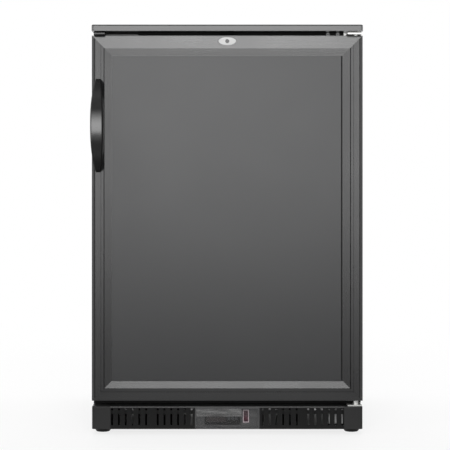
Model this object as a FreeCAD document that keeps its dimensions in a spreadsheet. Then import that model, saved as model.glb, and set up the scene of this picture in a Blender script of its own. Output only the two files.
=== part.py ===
import FreeCAD, Part
import math
import os
import Sketcher

V = FreeCAD.Vector

# Driving sizes in millimetres, angles in degrees.
SIZES = {
    # whole object
    "overall_tall": 907, "cabinet_wide": 598, "cabinet_deep": 470,
    "worktop_over": 1, "door_over": 0.8, "door_thick": 40, "seal_gap": 6, "handle_out": 38, "rear_stand": 4,
    "worktop_thick": 14, "worktop_skin": 1.5, "worktop_corner": 5, "worktop_round": 3, "tray_gap": 1.7,
    "top_gap": 9.6, "base_gap": 11, "base_tall": 50, "foot_gap": 14,
    # cabinet walls
    "outer_skin": 1.2, "wall": 40, "liner_skin": 1, "frame_deep": 12, "bay_deep": 175, "bay_ceiling": 290,
    # door rails: section across one extrusion
    "rail_wide": 45, "ridge_in": 29, "band_drop": 10, "bevel_in": 43.5, "bevel_drop": 8,
    "rail_skin": 12, "rail_wall": 3, "rail_flange": 2.5,
    "edge_line_in": 6.6, "second_line_in": 20.8, "ridge_line_in": 27.8,
    "broad_line": 1.8, "fine_line": 1, "broad_line_deep": 3, "fine_line_deep": 0.8,
    # door panel, inner panel and gasket
    "panel_seat": 9, "panel_thick": 1.2, "panel_tuck": 7, "panel_open_line": 3,
    "inner_panel_in": 28, "inner_panel_thick": 1.5, "plug_gap": 19, "plug_gap_low": 28, "plug_gap_top": 33,
    "plug_reach": 2, "plug_corner": 18,
    "gasket_in": 13, "gasket_wide": 14, "gasket_gap": 0.3, "fit": 0.1,
    # hinges
    "pivot_in": 15, "pivot_deep": 18.5, "pin_radius": 4, "pin_fit": 0.05, "bush_radius": 6, "bush_long": 14,
    "bush_gap": 0.5,
    "hinge_plate": 3, "hinge_plate_wide": 32, "hinge_lift": 2.5, "flange_tall": 6.5, "flange_long": 78,
    "spare_in": 6, "spare_plate_wide": 23, "spare_strip_long": 94, "spare_strip_tall": 4,
    "leg_out": 240, "leg_wide": 31, "leg_low": 25, "leg_deep": 8,
    "screw_radius": 2, "screw_head": 3.6, "screw_head_tall": 2, "screw_step": 22,
    # lock
    "lock_down": 13, "lock_wide": 38.5, "lock_tall": 17.5, "lock_proud": 2.6, "lock_back": 9,
    "barrel_radius": 6.2, "barrel_back": 23, "plug_radius": 4.5, "cam_start": 24, "cam_thick": 2,
    "cam_wide": 10, "cam_long": 20, "keyway_wide": 1.3, "keyway_tall": 5, "keyway_deep": 4,
    "strike_wide": 30, "strike_thick": 2, "strike_gap": 1.5,
    # handle
    "handle_in": 14.6, "handle_long": 206, "handle_drop": 199.4, "handle_wide": 28.5, "handle_thick": 9,
    "handle_chamfer": 3.4,
    "handle_screw_radius": 2.5, "handle_screw_apart": 190, "handle_screw_long": 12,
    # base
    "plate_thick": 2, "plate_in": 20, "side_flange": 28, "lip_tall": 2.8, "lip_thick": 3, "lip_round": 2.2,
    "ledge_thick": 2, "ledge_under": 20, "block_wide": 41, "block_round": 7,
    "control_wide": 142, "control_deep": 18, "control_wall": 2, "fascia_in": 9, "fascia_thick": 2,
    "grille_thick": 3, "slot_wide": 4.4, "slot_tall": 38, "slot_pitch": 15, "slot_count": 6,
    "slot_side": 7.5, "slot_edge": 3.9, "slot_rise": 8, "rib_rise": 33, "rib_tall": 8, "rib_thick": 3,
    # feet
    "foot_in": 20, "foot_front": 58, "foot_rear": 40, "foot_radius": 19, "foot_toe": 15, "foot_taper": 6,
    "foot_tall": 11, "stud_radius": 5, "stud_tall": 52, "stud_fit": 0.1, "nut_radius": 9, "nut_tall": 8,
    # controls
    "flap_thick": 2, "flap_in": 0.5, "flap_side": 0.5, "flap_pin": 1.2, "flap_pivot_down": 4,
    "flap_over": 1.4, "flap_low": 2.5,
    "controller_mid": -10.5, "bezel_wide": 79, "bezel_tall": 33, "bezel_thick": 2.5,
    "body_wide": 71, "body_tall": 29, "body_deep": 46, "bezel_rise": 25,
    "lens_wide": 44, "lens_tall": 20, "lens_thick": 0.9, "lens_side": 3.5,
    "key_wide": 6, "key_tall": 11, "key_deep": 4, "key_proud": 0.6, "key_gap": 0.3, "key_pitch": 8.2,
    "key_first": 3.8, "key_travel": 0.8,
    "switch_mid": 41.3, "switch_up": 2.5, "switch_wide": 13.4, "switch_tall": 28.6, "switch_flange": 1.5,
    "switch_body_wide": 11.6, "switch_body_tall": 26, "switch_body_deep": 17,
    "rocker_wide": 9, "rocker_tall": 21.4, "rocker_front": 6, "rocker_dish": 1.4, "rocker_back": 2,
    "rocker_tilt": 8, "rocker_pin": 1, "rocker_side": 0.3, "rocker_end": 1.5,
    # shelves
    "strip_thick": 3, "strip_wide": 14, "strip_gap": 20, "strip_foot": 8, "strip_front": 45,
    "strip_back": 115,
    "clip_long": 12, "clip_wide": 10, "clip_tall": 8, "shelf_rest": 0.3, "shelf_side": 7, "shelf_front": 25,
    "shelf_back": 10, "shelf_rod": 3, "shelf_wire": 1.6, "shelf_wires": 19, "shelf_low_rise": 30,
    "shelf_high_rise": 275,
    # light and evaporator
    "light_long": 360, "light_wide": 20, "light_tall": 10, "light_in": 10,
    "cover_wide": 410, "cover_deep": 70, "cover_tall": 270, "cover_down": 26, "cover_skin": 1.5,
    "coil_wide": 360, "coil_deep": 38, "coil_tall": 95, "coil_rise": 20, "fin_gap": 8, "fin_pitch": 14,
    "fin_count": 25, "fin_root": 10,
    "cold_fan_down": 75, "cold_fan_radius": 54, "cold_fan_hole": 60, "fan_hub": 14, "fan_depth": 16,
    "cold_motor_radius": 22, "cold_motor_deep": 24, "cold_bracket_long": 150, "cold_bracket_tall": 20,
    "cold_bracket_thick": 5, "motor_shaft": 3, "shaft_fit": 0.05, "cold_shaft_long": 18,
    # machine bay
    "pot_in": 133, "pot_radius": 70, "pot_tall": 162, "pot_round": 26, "mount_radius": 10, "mount_tall": 14,
    "pot_plate_wide": 186, "pot_plate_deep": 124, "pot_plate_thick": 3, "mount_inset": 16,
    "tray_wide": 160, "tray_deep": 120, "tray_tall": 25, "tray_wall": 2,
    "condenser_in": 148, "condenser_thick": 45, "condenser_deep": 158, "condenser_tall": 205,
    "warm_fin_gap": 6, "warm_fin_pitch": 12, "warm_fin_count": 12, "warm_fin_root": 12,
    "shroud_thick": 30, "warm_fan_hole": 72, "warm_fan_radius": 66, "warm_hub": 18, "warm_fan_rise": 104,
    "warm_motor_radius": 32, "warm_motor_long": 46, "warm_motor_gap": 8, "warm_bracket_wide": 20,
    "warm_bracket_thick": 10, "tube_radius": 4, "tube_gap": 0.2, "tube_up": 40, "tube_bend": 18,
    "louvre_wide": 200, "louvre_tall": 6, "louvre_pitch": 14, "louvre_count": 14, "louvre_low": 40,
    "louvre_in": 148, "gland_in": 58, "gland_rise": 33, "gland_radius": 7, "gland_bore": 4.5,
    "gland_flange": 11, "gland_flange_thick": 3, "gland_long": 18, "cover_screw_edge": 18,
    "cover_screw_in": 16,
}

doc = FreeCAD.newDocument("undercounter_refrigerator")
sheet = doc.addObject("Spreadsheet::Sheet", "Sizes")
for row, (alias, number) in enumerate(SIZES.items(), start=1):
    sheet.set(f"A{row}", alias)
    sheet.set(f"B{row}", str(number))
    sheet.setAlias(f"B{row}", alias)
doc.recompute()


class Dim:
    """A length that holds its number and the sheet expression that gives it."""

    def __init__(self, text, value):
        self.text = text
        self.value = float(value)

    def __add__(self, other):
        other = as_dim(other)
        return Dim(f"({self.text} + {other.text})", self.value + other.value)

    def __radd__(self, other):
        return as_dim(other) + self

    def __sub__(self, other):
        other = as_dim(other)
        return Dim(f"({self.text} - {other.text})", self.value - other.value)

    def __rsub__(self, other):
        return as_dim(other) - self

    def __mul__(self, other):
        other = as_dim(other)
        return Dim(f"({self.text} * {other.text})", self.value * other.value)

    def __rmul__(self, other):
        return as_dim(other) * self

    def __truediv__(self, other):
        other = as_dim(other)
        return Dim(f"({self.text} / {other.text})", self.value / other.value)

    def __rtruediv__(self, other):
        return as_dim(other) / self

    def __neg__(self):
        return Dim(f"(0 - {self.text})", -self.value)


def as_dim(number):
    """A plain number as a Dim; a Dim stays as it is."""
    return number if isinstance(number, Dim) else Dim(repr(number), number)


class Sheet:
    """The sheet's cells by name: S.wall is the cell whose alias is wall."""

    def __getattr__(self, alias):
        return Dim(f"Sizes.{alias}", sheet.get(alias))


S = Sheet()
NODES = []


def bind(thing, path, length):
    thing.setExpression(path, as_dim(length).text)


TURN = {
    "X": FreeCAD.Rotation(V(0, 1, 0), 90),
    "Y": FreeCAD.Rotation(V(1, 0, 0), -90),
    "Z": FreeCAD.Rotation(),
}


def place(thing, at, turn=FreeCAD.Rotation()):
    """Put a thing at three lengths, turned by a fixed rotation."""
    thing.Placement = FreeCAD.Placement(V(), turn)
    for axis, length in zip("xyz", at):
        bind(thing, f"Placement.Base.{axis}", length)
    return thing


def node(thing, label):
    """Mark a finished sub-part: its label names its file."""
    thing.Label = label
    NODES.append(thing)
    return thing


def about(middle, width):
    """The span of a width about a middle."""
    return (middle - width / 2, middle + width / 2)


def box(name, xs, ys, zs):
    thing = doc.addObject("Part::Box", name)
    for side, (low, high) in zip(("Length", "Width", "Height"), (xs, ys, zs)):
        bind(thing, side, high - low)
    return place(thing, (xs[0], ys[0], zs[0]))


def rod(name, start, radius, length, along="Z"):
    thing = doc.addObject("Part::Cylinder", name)
    bind(thing, "Radius", radius)
    bind(thing, "Height", length)
    return place(thing, start, TURN[along])


def fuse(name, *parts):
    thing = doc.addObject("Part::MultiFuse", name)
    thing.Shapes = list(parts)
    thing.Refine = True
    return thing


def cut(name, base, *tools):
    thing = doc.addObject("Part::Cut", name)
    thing.Base = base
    thing.Tool = tools[0] if len(tools) == 1 else fuse(f"{name}_tools", *tools)
    return thing


def group(name, *parts):
    thing = doc.addObject("Part::Compound", name)
    thing.Links = list(parts)
    return thing


# Sketched bodies. Each outline is drawn on one of the body's own origin planes.

def rectangle(xs, ys):
    return [(xs[0], ys[0]), (xs[1], ys[0]), (xs[1], ys[1]), (xs[0], ys[1])]


def draw_outline(sketch, points):
    """A closed run of straight edges whose corners are held by lengths from the origin."""
    first = sketch.GeometryCount
    count = len(points)
    points = [(as_dim(x), as_dim(y)) for x, y in points]
    for index in range(count):
        x, y = points[index]
        next_x, next_y = points[(index + 1) % count]
        sketch.addGeometry(Part.LineSegment(V(x.value, y.value, 0), V(next_x.value, next_y.value, 0)))
    for index in range(count):
        sketch.addConstraint(
            Sketcher.Constraint("Coincident", first + index, 2, first + (index + 1) % count, 1))
    for index, (x, y) in enumerate(points):
        for kind, length in (("DistanceX", x), ("DistanceY", y)):
            held = sketch.addConstraint(
                Sketcher.Constraint(kind, -1, 1, first + index, 1, length.value))
            bind(sketch, f"Constraints[{held}]", length)


def draw_circle(sketch, x, y, radius):
    x, y, radius = as_dim(x), as_dim(y), as_dim(radius)
    ring = sketch.addGeometry(Part.Circle(V(x.value, y.value, 0), V(0, 0, 1), radius.value))
    for kind, length in (("DistanceX", x), ("DistanceY", y)):
        held = sketch.addConstraint(Sketcher.Constraint(kind, -1, 1, ring, 3, length.value))
        bind(sketch, f"Constraints[{held}]", length)
    held = sketch.addConstraint(Sketcher.Constraint("Radius", ring, radius.value))
    bind(sketch, f"Constraints[{held}]", radius)


def draw_slot(sketch, x, y, wide, tall):
    """An upright slot with round ends, or a lying one where it is wider than tall."""
    x, y, wide, tall = (as_dim(length) for length in (x, y, wide, tall))
    lying = wide.value > tall.value
    radius = (tall if lying else wide) / 2
    reach = (wide if lying else tall) / 2 - radius
    step = V(reach.value, 0, 0) if lying else V(0, reach.value, 0)
    start = -math.pi / 2 if lying else 0
    middle = V(x.value, y.value, 0)
    caps = []
    for sign in (1, -1):
        turn = start + (0 if sign == 1 else math.pi)
        circle = Part.Circle(middle + step * sign, V(0, 0, 1), radius.value)
        caps.append(sketch.addGeometry(Part.ArcOfCircle(circle, turn, turn + math.pi)))
    sides = []
    for cap, other in ((caps[0], caps[1]), (caps[1], caps[0])):
        start_at = sketch.getPoint(cap, 2)
        end_at = sketch.getPoint(other, 1)
        side = sketch.addGeometry(Part.LineSegment(start_at, end_at))
        sketch.addConstraint(Sketcher.Constraint("Tangent", cap, 2, side, 1))
        sketch.addConstraint(Sketcher.Constraint("Tangent", side, 2, other, 1))
        sides.append(side)
    for side in sides:
        sketch.addConstraint(Sketcher.Constraint("Horizontal" if lying else "Vertical", side))
    held = sketch.addConstraint(Sketcher.Constraint("Radius", caps[0], radius.value))
    bind(sketch, f"Constraints[{held}]", radius)
    ends = [(caps[0], "DistanceX", x + reach if lying else x),
            (caps[0], "DistanceY", y if lying else y + reach),
            (caps[1], "DistanceX" if lying else "DistanceY", (x if lying else y) - reach)]
    for cap, kind, length in ends:
        held = sketch.addConstraint(Sketcher.Constraint(kind, -1, 1, cap, 3, length.value))
        bind(sketch, f"Constraints[{held}]", length)


def draw_ellipse(sketch, x, y, half_x, half_y):
    """An ellipse whose axes lie along the sketch's own."""
    x, y, half_x, half_y = (as_dim(length) for length in (x, y, half_x, half_y))
    wide = half_x.value >= half_y.value
    middle = V(x.value, y.value, 0)
    ways = [V(half_x.value, 0, 0), V(0, half_y.value, 0)]
    long_way, short_way = ways if wide else ways[::-1]
    ring = sketch.addGeometry(Part.Ellipse(middle + long_way, middle + short_way, middle))
    sketch.exposeInternalGeometry(ring)
    for kind, length in (("DistanceX", x), ("DistanceY", y)):
        held = sketch.addConstraint(Sketcher.Constraint(kind, -1, 1, ring, 3, length.value))
        bind(sketch, f"Constraints[{held}]", length)
    major, minor = ring + 1, ring + 2
    sketch.addConstraint(Sketcher.Constraint("Horizontal" if wide else "Vertical", major))
    for line, length in ((major, half_x if wide else half_y), (minor, half_y if wide else half_x)):
        held = sketch.addConstraint(Sketcher.Constraint("Distance", line, length.value * 2))
        bind(sketch, f"Constraints[{held}]", length * 2)


DRAW = {"outline": draw_outline, "circle": draw_circle, "slot": draw_slot, "ellipse": draw_ellipse}


def new_sketch(body, plane, height, drawings):
    """A sketch on the XY, XZ or YZ plane, at a height along the remaining axis."""
    sketch = body.newObject("Sketcher::SketchObject", f"{body.Name}_{plane}")
    support = [item for item in body.Origin.OriginFeatures if item.Role == f"{plane}_Plane"]
    sketch.AttachmentSupport = [(support[0], "")]
    sketch.MapMode = "FlatFace"
    bind(sketch, "AttachmentOffset.Base.z", -height if plane == "XZ" else height)
    for kind, *sizes in drawings:
        DRAW[kind](sketch, *sizes)
    return sketch


def add_pad(body, plane, span, *drawings):
    """Material over a span along the plane's normal axis."""
    low, high = as_dim(span[0]), as_dim(span[1])
    sketch = new_sketch(body, plane, high if plane == "XZ" else low, drawings)
    pad = body.newObject("PartDesign::Pad", f"{body.Name}_pad")
    pad.Profile = sketch
    bind(pad, "Length", high - low)
    doc.recompute()
    return pad


def add_pocket(body, plane, span, *drawings):
    """A cut over a span along the plane's normal axis, checked to take material away."""
    low, high = as_dim(span[0]), as_dim(span[1])
    before = body.Shape.Volume
    sketch = new_sketch(body, plane, low if plane == "XZ" else high, drawings)
    pocket = body.newObject("PartDesign::Pocket", f"{body.Name}_pocket")
    pocket.Profile = sketch
    bind(pocket, "Length", high - low)
    doc.recompute()
    if body.Shape.Volume > before - 1e-6:
        raise RuntimeError(f"{pocket.Name} cuts nothing")
    return pocket


def repeat(body, feature, direction, pitch, count):
    """Copies of a feature in a line along its own sketch's H_Axis or V_Axis."""
    pattern = body.newObject("PartDesign::LinearPattern", f"{body.Name}_pattern")
    pattern.Originals = [feature]
    pattern.Direction = (feature.Profile[0], [direction])
    bind(pattern, "Length", pitch * (count - 1))
    bind(pattern, "Occurrences", count)
    body.Tip = pattern
    doc.recompute()
    return pattern


def soften(body, radius, wanted, kind="Fillet"):
    """Round (or chamfer) the edges of the body that the wanted test picks."""
    edges = [f"Edge{index}" for index, edge in enumerate(body.Shape.Edges, start=1) if wanted(edge)]
    if not edges:
        raise RuntimeError(f"{body.Name} has no such edges")
    base = body.Tip
    feature = body.newObject(f"PartDesign::{kind}", f"{body.Name}_{kind}")
    feature.Base = (base, edges)
    bind(feature, "Radius" if kind == "Fillet" else "Size", radius)
    doc.recompute()
    return feature


def new_body(name, plane, span, *drawings):
    body = doc.addObject("PartDesign::Body", name)
    add_pad(body, plane, span, *drawings)
    return body


def upright(edge):
    """True for a straight edge along Z."""
    return max(edge.BoundBox.XLength, edge.BoundBox.YLength) < PICK


def level(edge):
    """True for a straight edge along Y."""
    return max(edge.BoundBox.XLength, edge.BoundBox.ZLength) < PICK


def near(value, length):
    return abs(value - as_dim(length).value) < PICK


def solid_feature(name, shape):
    """A shape made by Part's own functions from the sheet's values."""
    thing = doc.addObject("Part::Feature", name)
    thing.Shape = shape
    return thing


# Levels (Z), planes (Y) and half widths (X).
TOP = S.overall_tall
CABINET_TOP = TOP - S.worktop_thick
DOOR_TOP = CABINET_TOP - S.top_gap
BASE_LOW = S.foot_gap
BASE_TOP = BASE_LOW + S.base_tall
DOOR_LOW = BASE_TOP + S.base_gap
DOOR_TALL = DOOR_TOP - DOOR_LOW
OVERALL_DEEP = S.handle_out + S.door_thick + S.seal_gap + S.cabinet_deep + S.rear_stand
FRONT = S.handle_out - OVERALL_DEEP / 2
DOOR_BACK = FRONT + S.door_thick
SEAL = DOOR_BACK + S.seal_gap
BACK = SEAL + S.cabinet_deep
REAR = BACK + S.rear_stand
HALF = S.cabinet_wide / 2
DOOR_HALF = HALF + S.door_over
WORKTOP_HALF = HALF + S.worktop_over
INNER_HALF = HALF - S.wall
CEILING = CABINET_TOP - S.wall
FLOOR = BASE_TOP + S.wall
FRAME_BACK = SEAL + S.frame_deep
INNER_BACK = BACK - S.wall
BAY_FRONT = BACK - S.bay_deep
STEP_FRONT = BAY_FRONT - S.wall
STEP_TOP = S.bay_ceiling + S.wall
PLATE_TOP = BASE_LOW + S.plate_thick
PIVOT_X = DOOR_HALF - S.pivot_in
PIVOT_Y = FRONT + S.pivot_deep
LOCK_Z = DOOR_TOP - S.lock_down
OVERCUT = 1
PICK = 1e-3


def make_cabinet():
    """The insulated box: skins, insulation, liner, breaker frame and worktop."""
    worktop = new_body("worktop_body", "XY", (CABINET_TOP, TOP),
                       ("outline", rectangle(about(0, WORKTOP_HALF * 2), (FRONT, REAR))))
    soften(worktop, S.worktop_corner, lambda edge: upright(edge) and near(edge.BoundBox.YMin, FRONT))
    soften(worktop, S.worktop_round, lambda edge: near(edge.BoundBox.ZMin, TOP))
    inside = S.worktop_skin
    middle = inside / 2
    add_pocket(worktop, "XY", (CABINET_TOP, TOP - inside),
               ("outline", rectangle(about(0, (WORKTOP_HALF - inside) * 2), (FRONT + inside, REAR - inside))))
    add_pad(worktop, "XY", (CABINET_TOP, CABINET_TOP + inside),
            ("outline", rectangle(about(0, (WORKTOP_HALF - middle) * 2), (FRONT + middle, FRAME_BACK))))
    node(worktop, "worktop")

    for side, low in (("left", -HALF), ("right", HALF - S.outer_skin)):
        panel = box(f"side_{side}", (low, low + S.outer_skin), (SEAL, BACK), (BASE_TOP, CABINET_TOP))
        node(panel, f"side_panel_{side}")

    between = S.cabinet_wide - S.outer_skin * 2
    frame = new_body("frame_body", "XZ", (SEAL, FRAME_BACK),
                     ("outline", rectangle(about(0, between), (BASE_TOP, CABINET_TOP))))
    add_pocket(frame, "XZ", (SEAL, FRAME_BACK),
               ("outline", rectangle(about(0, INNER_HALF * 2), (FLOOR, CEILING))))
    holes = [rod(f"frame_hole_{index}", (x, SEAL - OVERCUT, z), S.screw_radius + S.fit,
                 S.frame_deep + OVERCUT * 2, "Y") for index, (x, z) in enumerate(flange_screws())]
    node(cut("frame_cut", frame, *holes), "front_frame")

    skin = S.outer_skin

    def hollow(grow, start):
        """Side view of the food space, grown all round, from a plane in front of it."""
        return [(start, FLOOR - grow), (STEP_FRONT + grow, FLOOR - grow),
                (STEP_FRONT + grow, STEP_TOP - grow),
                (INNER_BACK + grow, STEP_TOP - grow), (INNER_BACK + grow, CEILING + grow),
                (start, CEILING + grow)]

    foam_side = [(FRAME_BACK, BASE_TOP + skin), (BAY_FRONT, BASE_TOP + skin), (BAY_FRONT, S.bay_ceiling),
                 (BACK - skin, S.bay_ceiling), (BACK - skin, CABINET_TOP), (FRAME_BACK, CABINET_TOP)]
    foam = new_body("foam_body", "YZ", about(0, between), ("outline", foam_side))
    add_pad(foam, "YZ", about(0, (WORKTOP_HALF - S.worktop_skin - S.tray_gap) * 2),
            ("outline", rectangle((FRAME_BACK, BACK - skin), (CABINET_TOP, TOP - S.worktop_skin))))
    add_pocket(foam, "YZ", about(0, (INNER_HALF + S.liner_skin) * 2),
               ("outline", hollow(S.liner_skin, FRAME_BACK - OVERCUT)))
    node(foam, "cabinet_foam")

    liner = new_body("liner_body", "YZ", about(0, (INNER_HALF + S.liner_skin) * 2),
                     ("outline", hollow(S.liner_skin, FRAME_BACK)))
    add_pocket(liner, "YZ", about(0, INNER_HALF * 2), ("outline", hollow(0, FRAME_BACK - OVERCUT)))
    node(liner, "inner_liner")

    folded = [(BACK, CABINET_TOP), (BACK, S.bay_ceiling - skin), (BAY_FRONT + skin, S.bay_ceiling - skin),
              (BAY_FRONT + skin, BASE_TOP), (FRAME_BACK, BASE_TOP), (FRAME_BACK, BASE_TOP + skin),
              (BAY_FRONT, BASE_TOP + skin), (BAY_FRONT, S.bay_ceiling), (BACK - skin, S.bay_ceiling),
              (BACK - skin, CABINET_TOP)]
    node(new_body("back_body", "YZ", about(0, between), ("outline", folded)), "back_panel")


def flange_screws():
    """Centres of the screws that hold the upper hinge plate to the cabinet."""
    rise = DOOR_TOP + S.hinge_lift + S.flange_tall / 2
    first = PIVOT_X + S.pivot_in / 2 - S.flange_long + S.screw_step / 2
    return [(first, rise), (first + S.screw_step, rise)]


def make_screw(name, at, reach):
    """A screw along +Y whose head bears on the plane y = at[1]."""
    x, y, z = at
    head = rod(f"{name}_head", (x, y - S.screw_head_tall, z), S.screw_head, S.screw_head_tall, "Y")
    shank = rod(f"{name}_shank", (x, y, z), S.screw_radius, reach, "Y")
    return fuse(name, head, shank)


def make_base():
    """The base under the cabinet: tray, corner blocks, grilles and feet."""
    front_y = FRONT + S.plate_in
    rows = (FRONT + S.foot_front, BACK - S.foot_rear)
    spots = [(side * (HALF - S.foot_in), y) for y in rows for side in (-1, 1)]
    plate = new_body("plate_body", "XY", (BASE_LOW, PLATE_TOP),
                     ("outline", rectangle(about(0, S.cabinet_wide), (front_y, BACK - S.outer_skin - S.fit))))
    add_pad(plate, "XY", (PLATE_TOP, PLATE_TOP + S.nut_tall),
            *[("circle", x, y, S.nut_radius) for x, y in spots])
    add_pocket(plate, "XY", (BASE_LOW, PLATE_TOP + S.nut_tall),
               *[("circle", x, y, S.stud_radius + S.stud_fit) for x, y in spots])
    rails = []
    for side in (-1, 1):
        outer, inner, flange = (side * (HALF - length) for length in (0, S.plate_thick, S.side_flange))
        web = [(outer, PLATE_TOP), (inner, PLATE_TOP), (inner, BASE_TOP - S.plate_thick),
               (flange, BASE_TOP - S.plate_thick), (flange, BASE_TOP), (outer, BASE_TOP)]
        rails.append(new_body(f"rail_{side + 1}", "XZ", (SEAL, BACK - S.outer_skin - S.fit),
                              ("outline", web)))
    inner_half = HALF - S.block_wide
    lip = [(FRONT, BASE_TOP - S.lip_tall), (FRONT + S.lip_thick, BASE_TOP - S.lip_tall),
           (FRONT + S.lip_thick, BASE_TOP - S.ledge_thick), (SEAL + S.ledge_under, BASE_TOP - S.ledge_thick),
           (SEAL + S.ledge_under, BASE_TOP), (FRONT, BASE_TOP)]
    ledge = new_body("ledge_body", "YZ", (-inner_half, inner_half), ("outline", lip))
    soften(ledge, S.lip_round,
           lambda edge: near(edge.BoundBox.YMax, FRONT) and near(edge.BoundBox.ZMin, BASE_TOP))
    node(group("base_group", plate, *rails, ledge), "base_frame")

    blocks = []
    for side in (-1, 1):
        xs = sorted((side * inner_half, side * HALF), key=lambda length: length.value)
        block = new_body(f"block_{side + 1}", "XY", (BASE_LOW, BASE_TOP),
                         ("outline", rectangle(xs, (FRONT, SEAL))))
        soften(block, S.block_round, lambda edge: upright(edge) and near(edge.BoundBox.YMin, FRONT)
               and near(abs(edge.BoundBox.XMin), HALF))
        soften(block, S.lip_round, lambda edge: near(edge.BoundBox.ZMin, BASE_TOP)
               and edge.BoundBox.YMin < SEAL.value - 1)
        under = box(f"block_under_{side + 1}", (xs[0] - OVERCUT, xs[1] + OVERCUT), (front_y, SEAL + OVERCUT),
                    (BASE_LOW - OVERCUT, PLATE_TOP))
        blocks.append(cut(f"block_cut_{side + 1}", block, under))
    node(group("block_group", *blocks), "corner_blocks")

    face_top = BASE_TOP - S.lip_tall
    control_half = S.control_wide / 2
    for side, label in ((-1, "left"), (1, "right")):
        xs = sorted((side * control_half, side * inner_half), key=lambda length: length.value)
        grille = new_body(f"grille_{label}_body", "XZ", (FRONT, FRONT + S.grille_thick),
                          ("outline", rectangle(xs, (BASE_LOW, face_top))))
        slot_z = BASE_LOW + S.slot_rise + S.slot_tall / 2
        group_long = S.slot_pitch * (S.slot_count - 1)
        for start in (control_half + S.slot_side, inner_half - S.slot_edge - group_long):
            first = start if side == 1 else -start - group_long
            slot = add_pocket(grille, "XZ", (FRONT, FRONT + S.grille_thick),
                              ("slot", first, slot_z, S.slot_wide, S.slot_tall))
            repeat(grille, slot, "H_Axis", S.slot_pitch, S.slot_count)
        add_pad(grille, "XZ", (FRONT + S.grille_thick, FRONT + S.grille_thick + S.rib_thick),
                ("outline", rectangle(xs, about(BASE_LOW + S.rib_rise + S.rib_tall / 2, S.rib_tall))))
        node(grille, f"grille_{label}")

    for (x, y), label in zip(spots, ("front_left", "front_right", "rear_left", "rear_right")):
        foot = doc.addObject("PartDesign::Body", f"foot_{label}_body")
        profile = [(0, 0), (S.foot_toe, 0), (S.foot_radius, S.foot_taper), (S.foot_radius, S.foot_tall),
                   (S.stud_radius, S.foot_tall), (S.stud_radius, S.stud_tall), (0, S.stud_tall)]
        sketch = new_sketch(foot, "XZ", as_dim(0), [("outline", profile)])
        turned = foot.newObject("PartDesign::Revolution", f"{foot.Name}_turned")
        turned.Profile = sketch
        turned.ReferenceAxis = (sketch, ["V_Axis"])
        turned.Angle = 360
        doc.recompute()
        node(place(foot, (x, y, 0)), f"foot_{label}")


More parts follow.
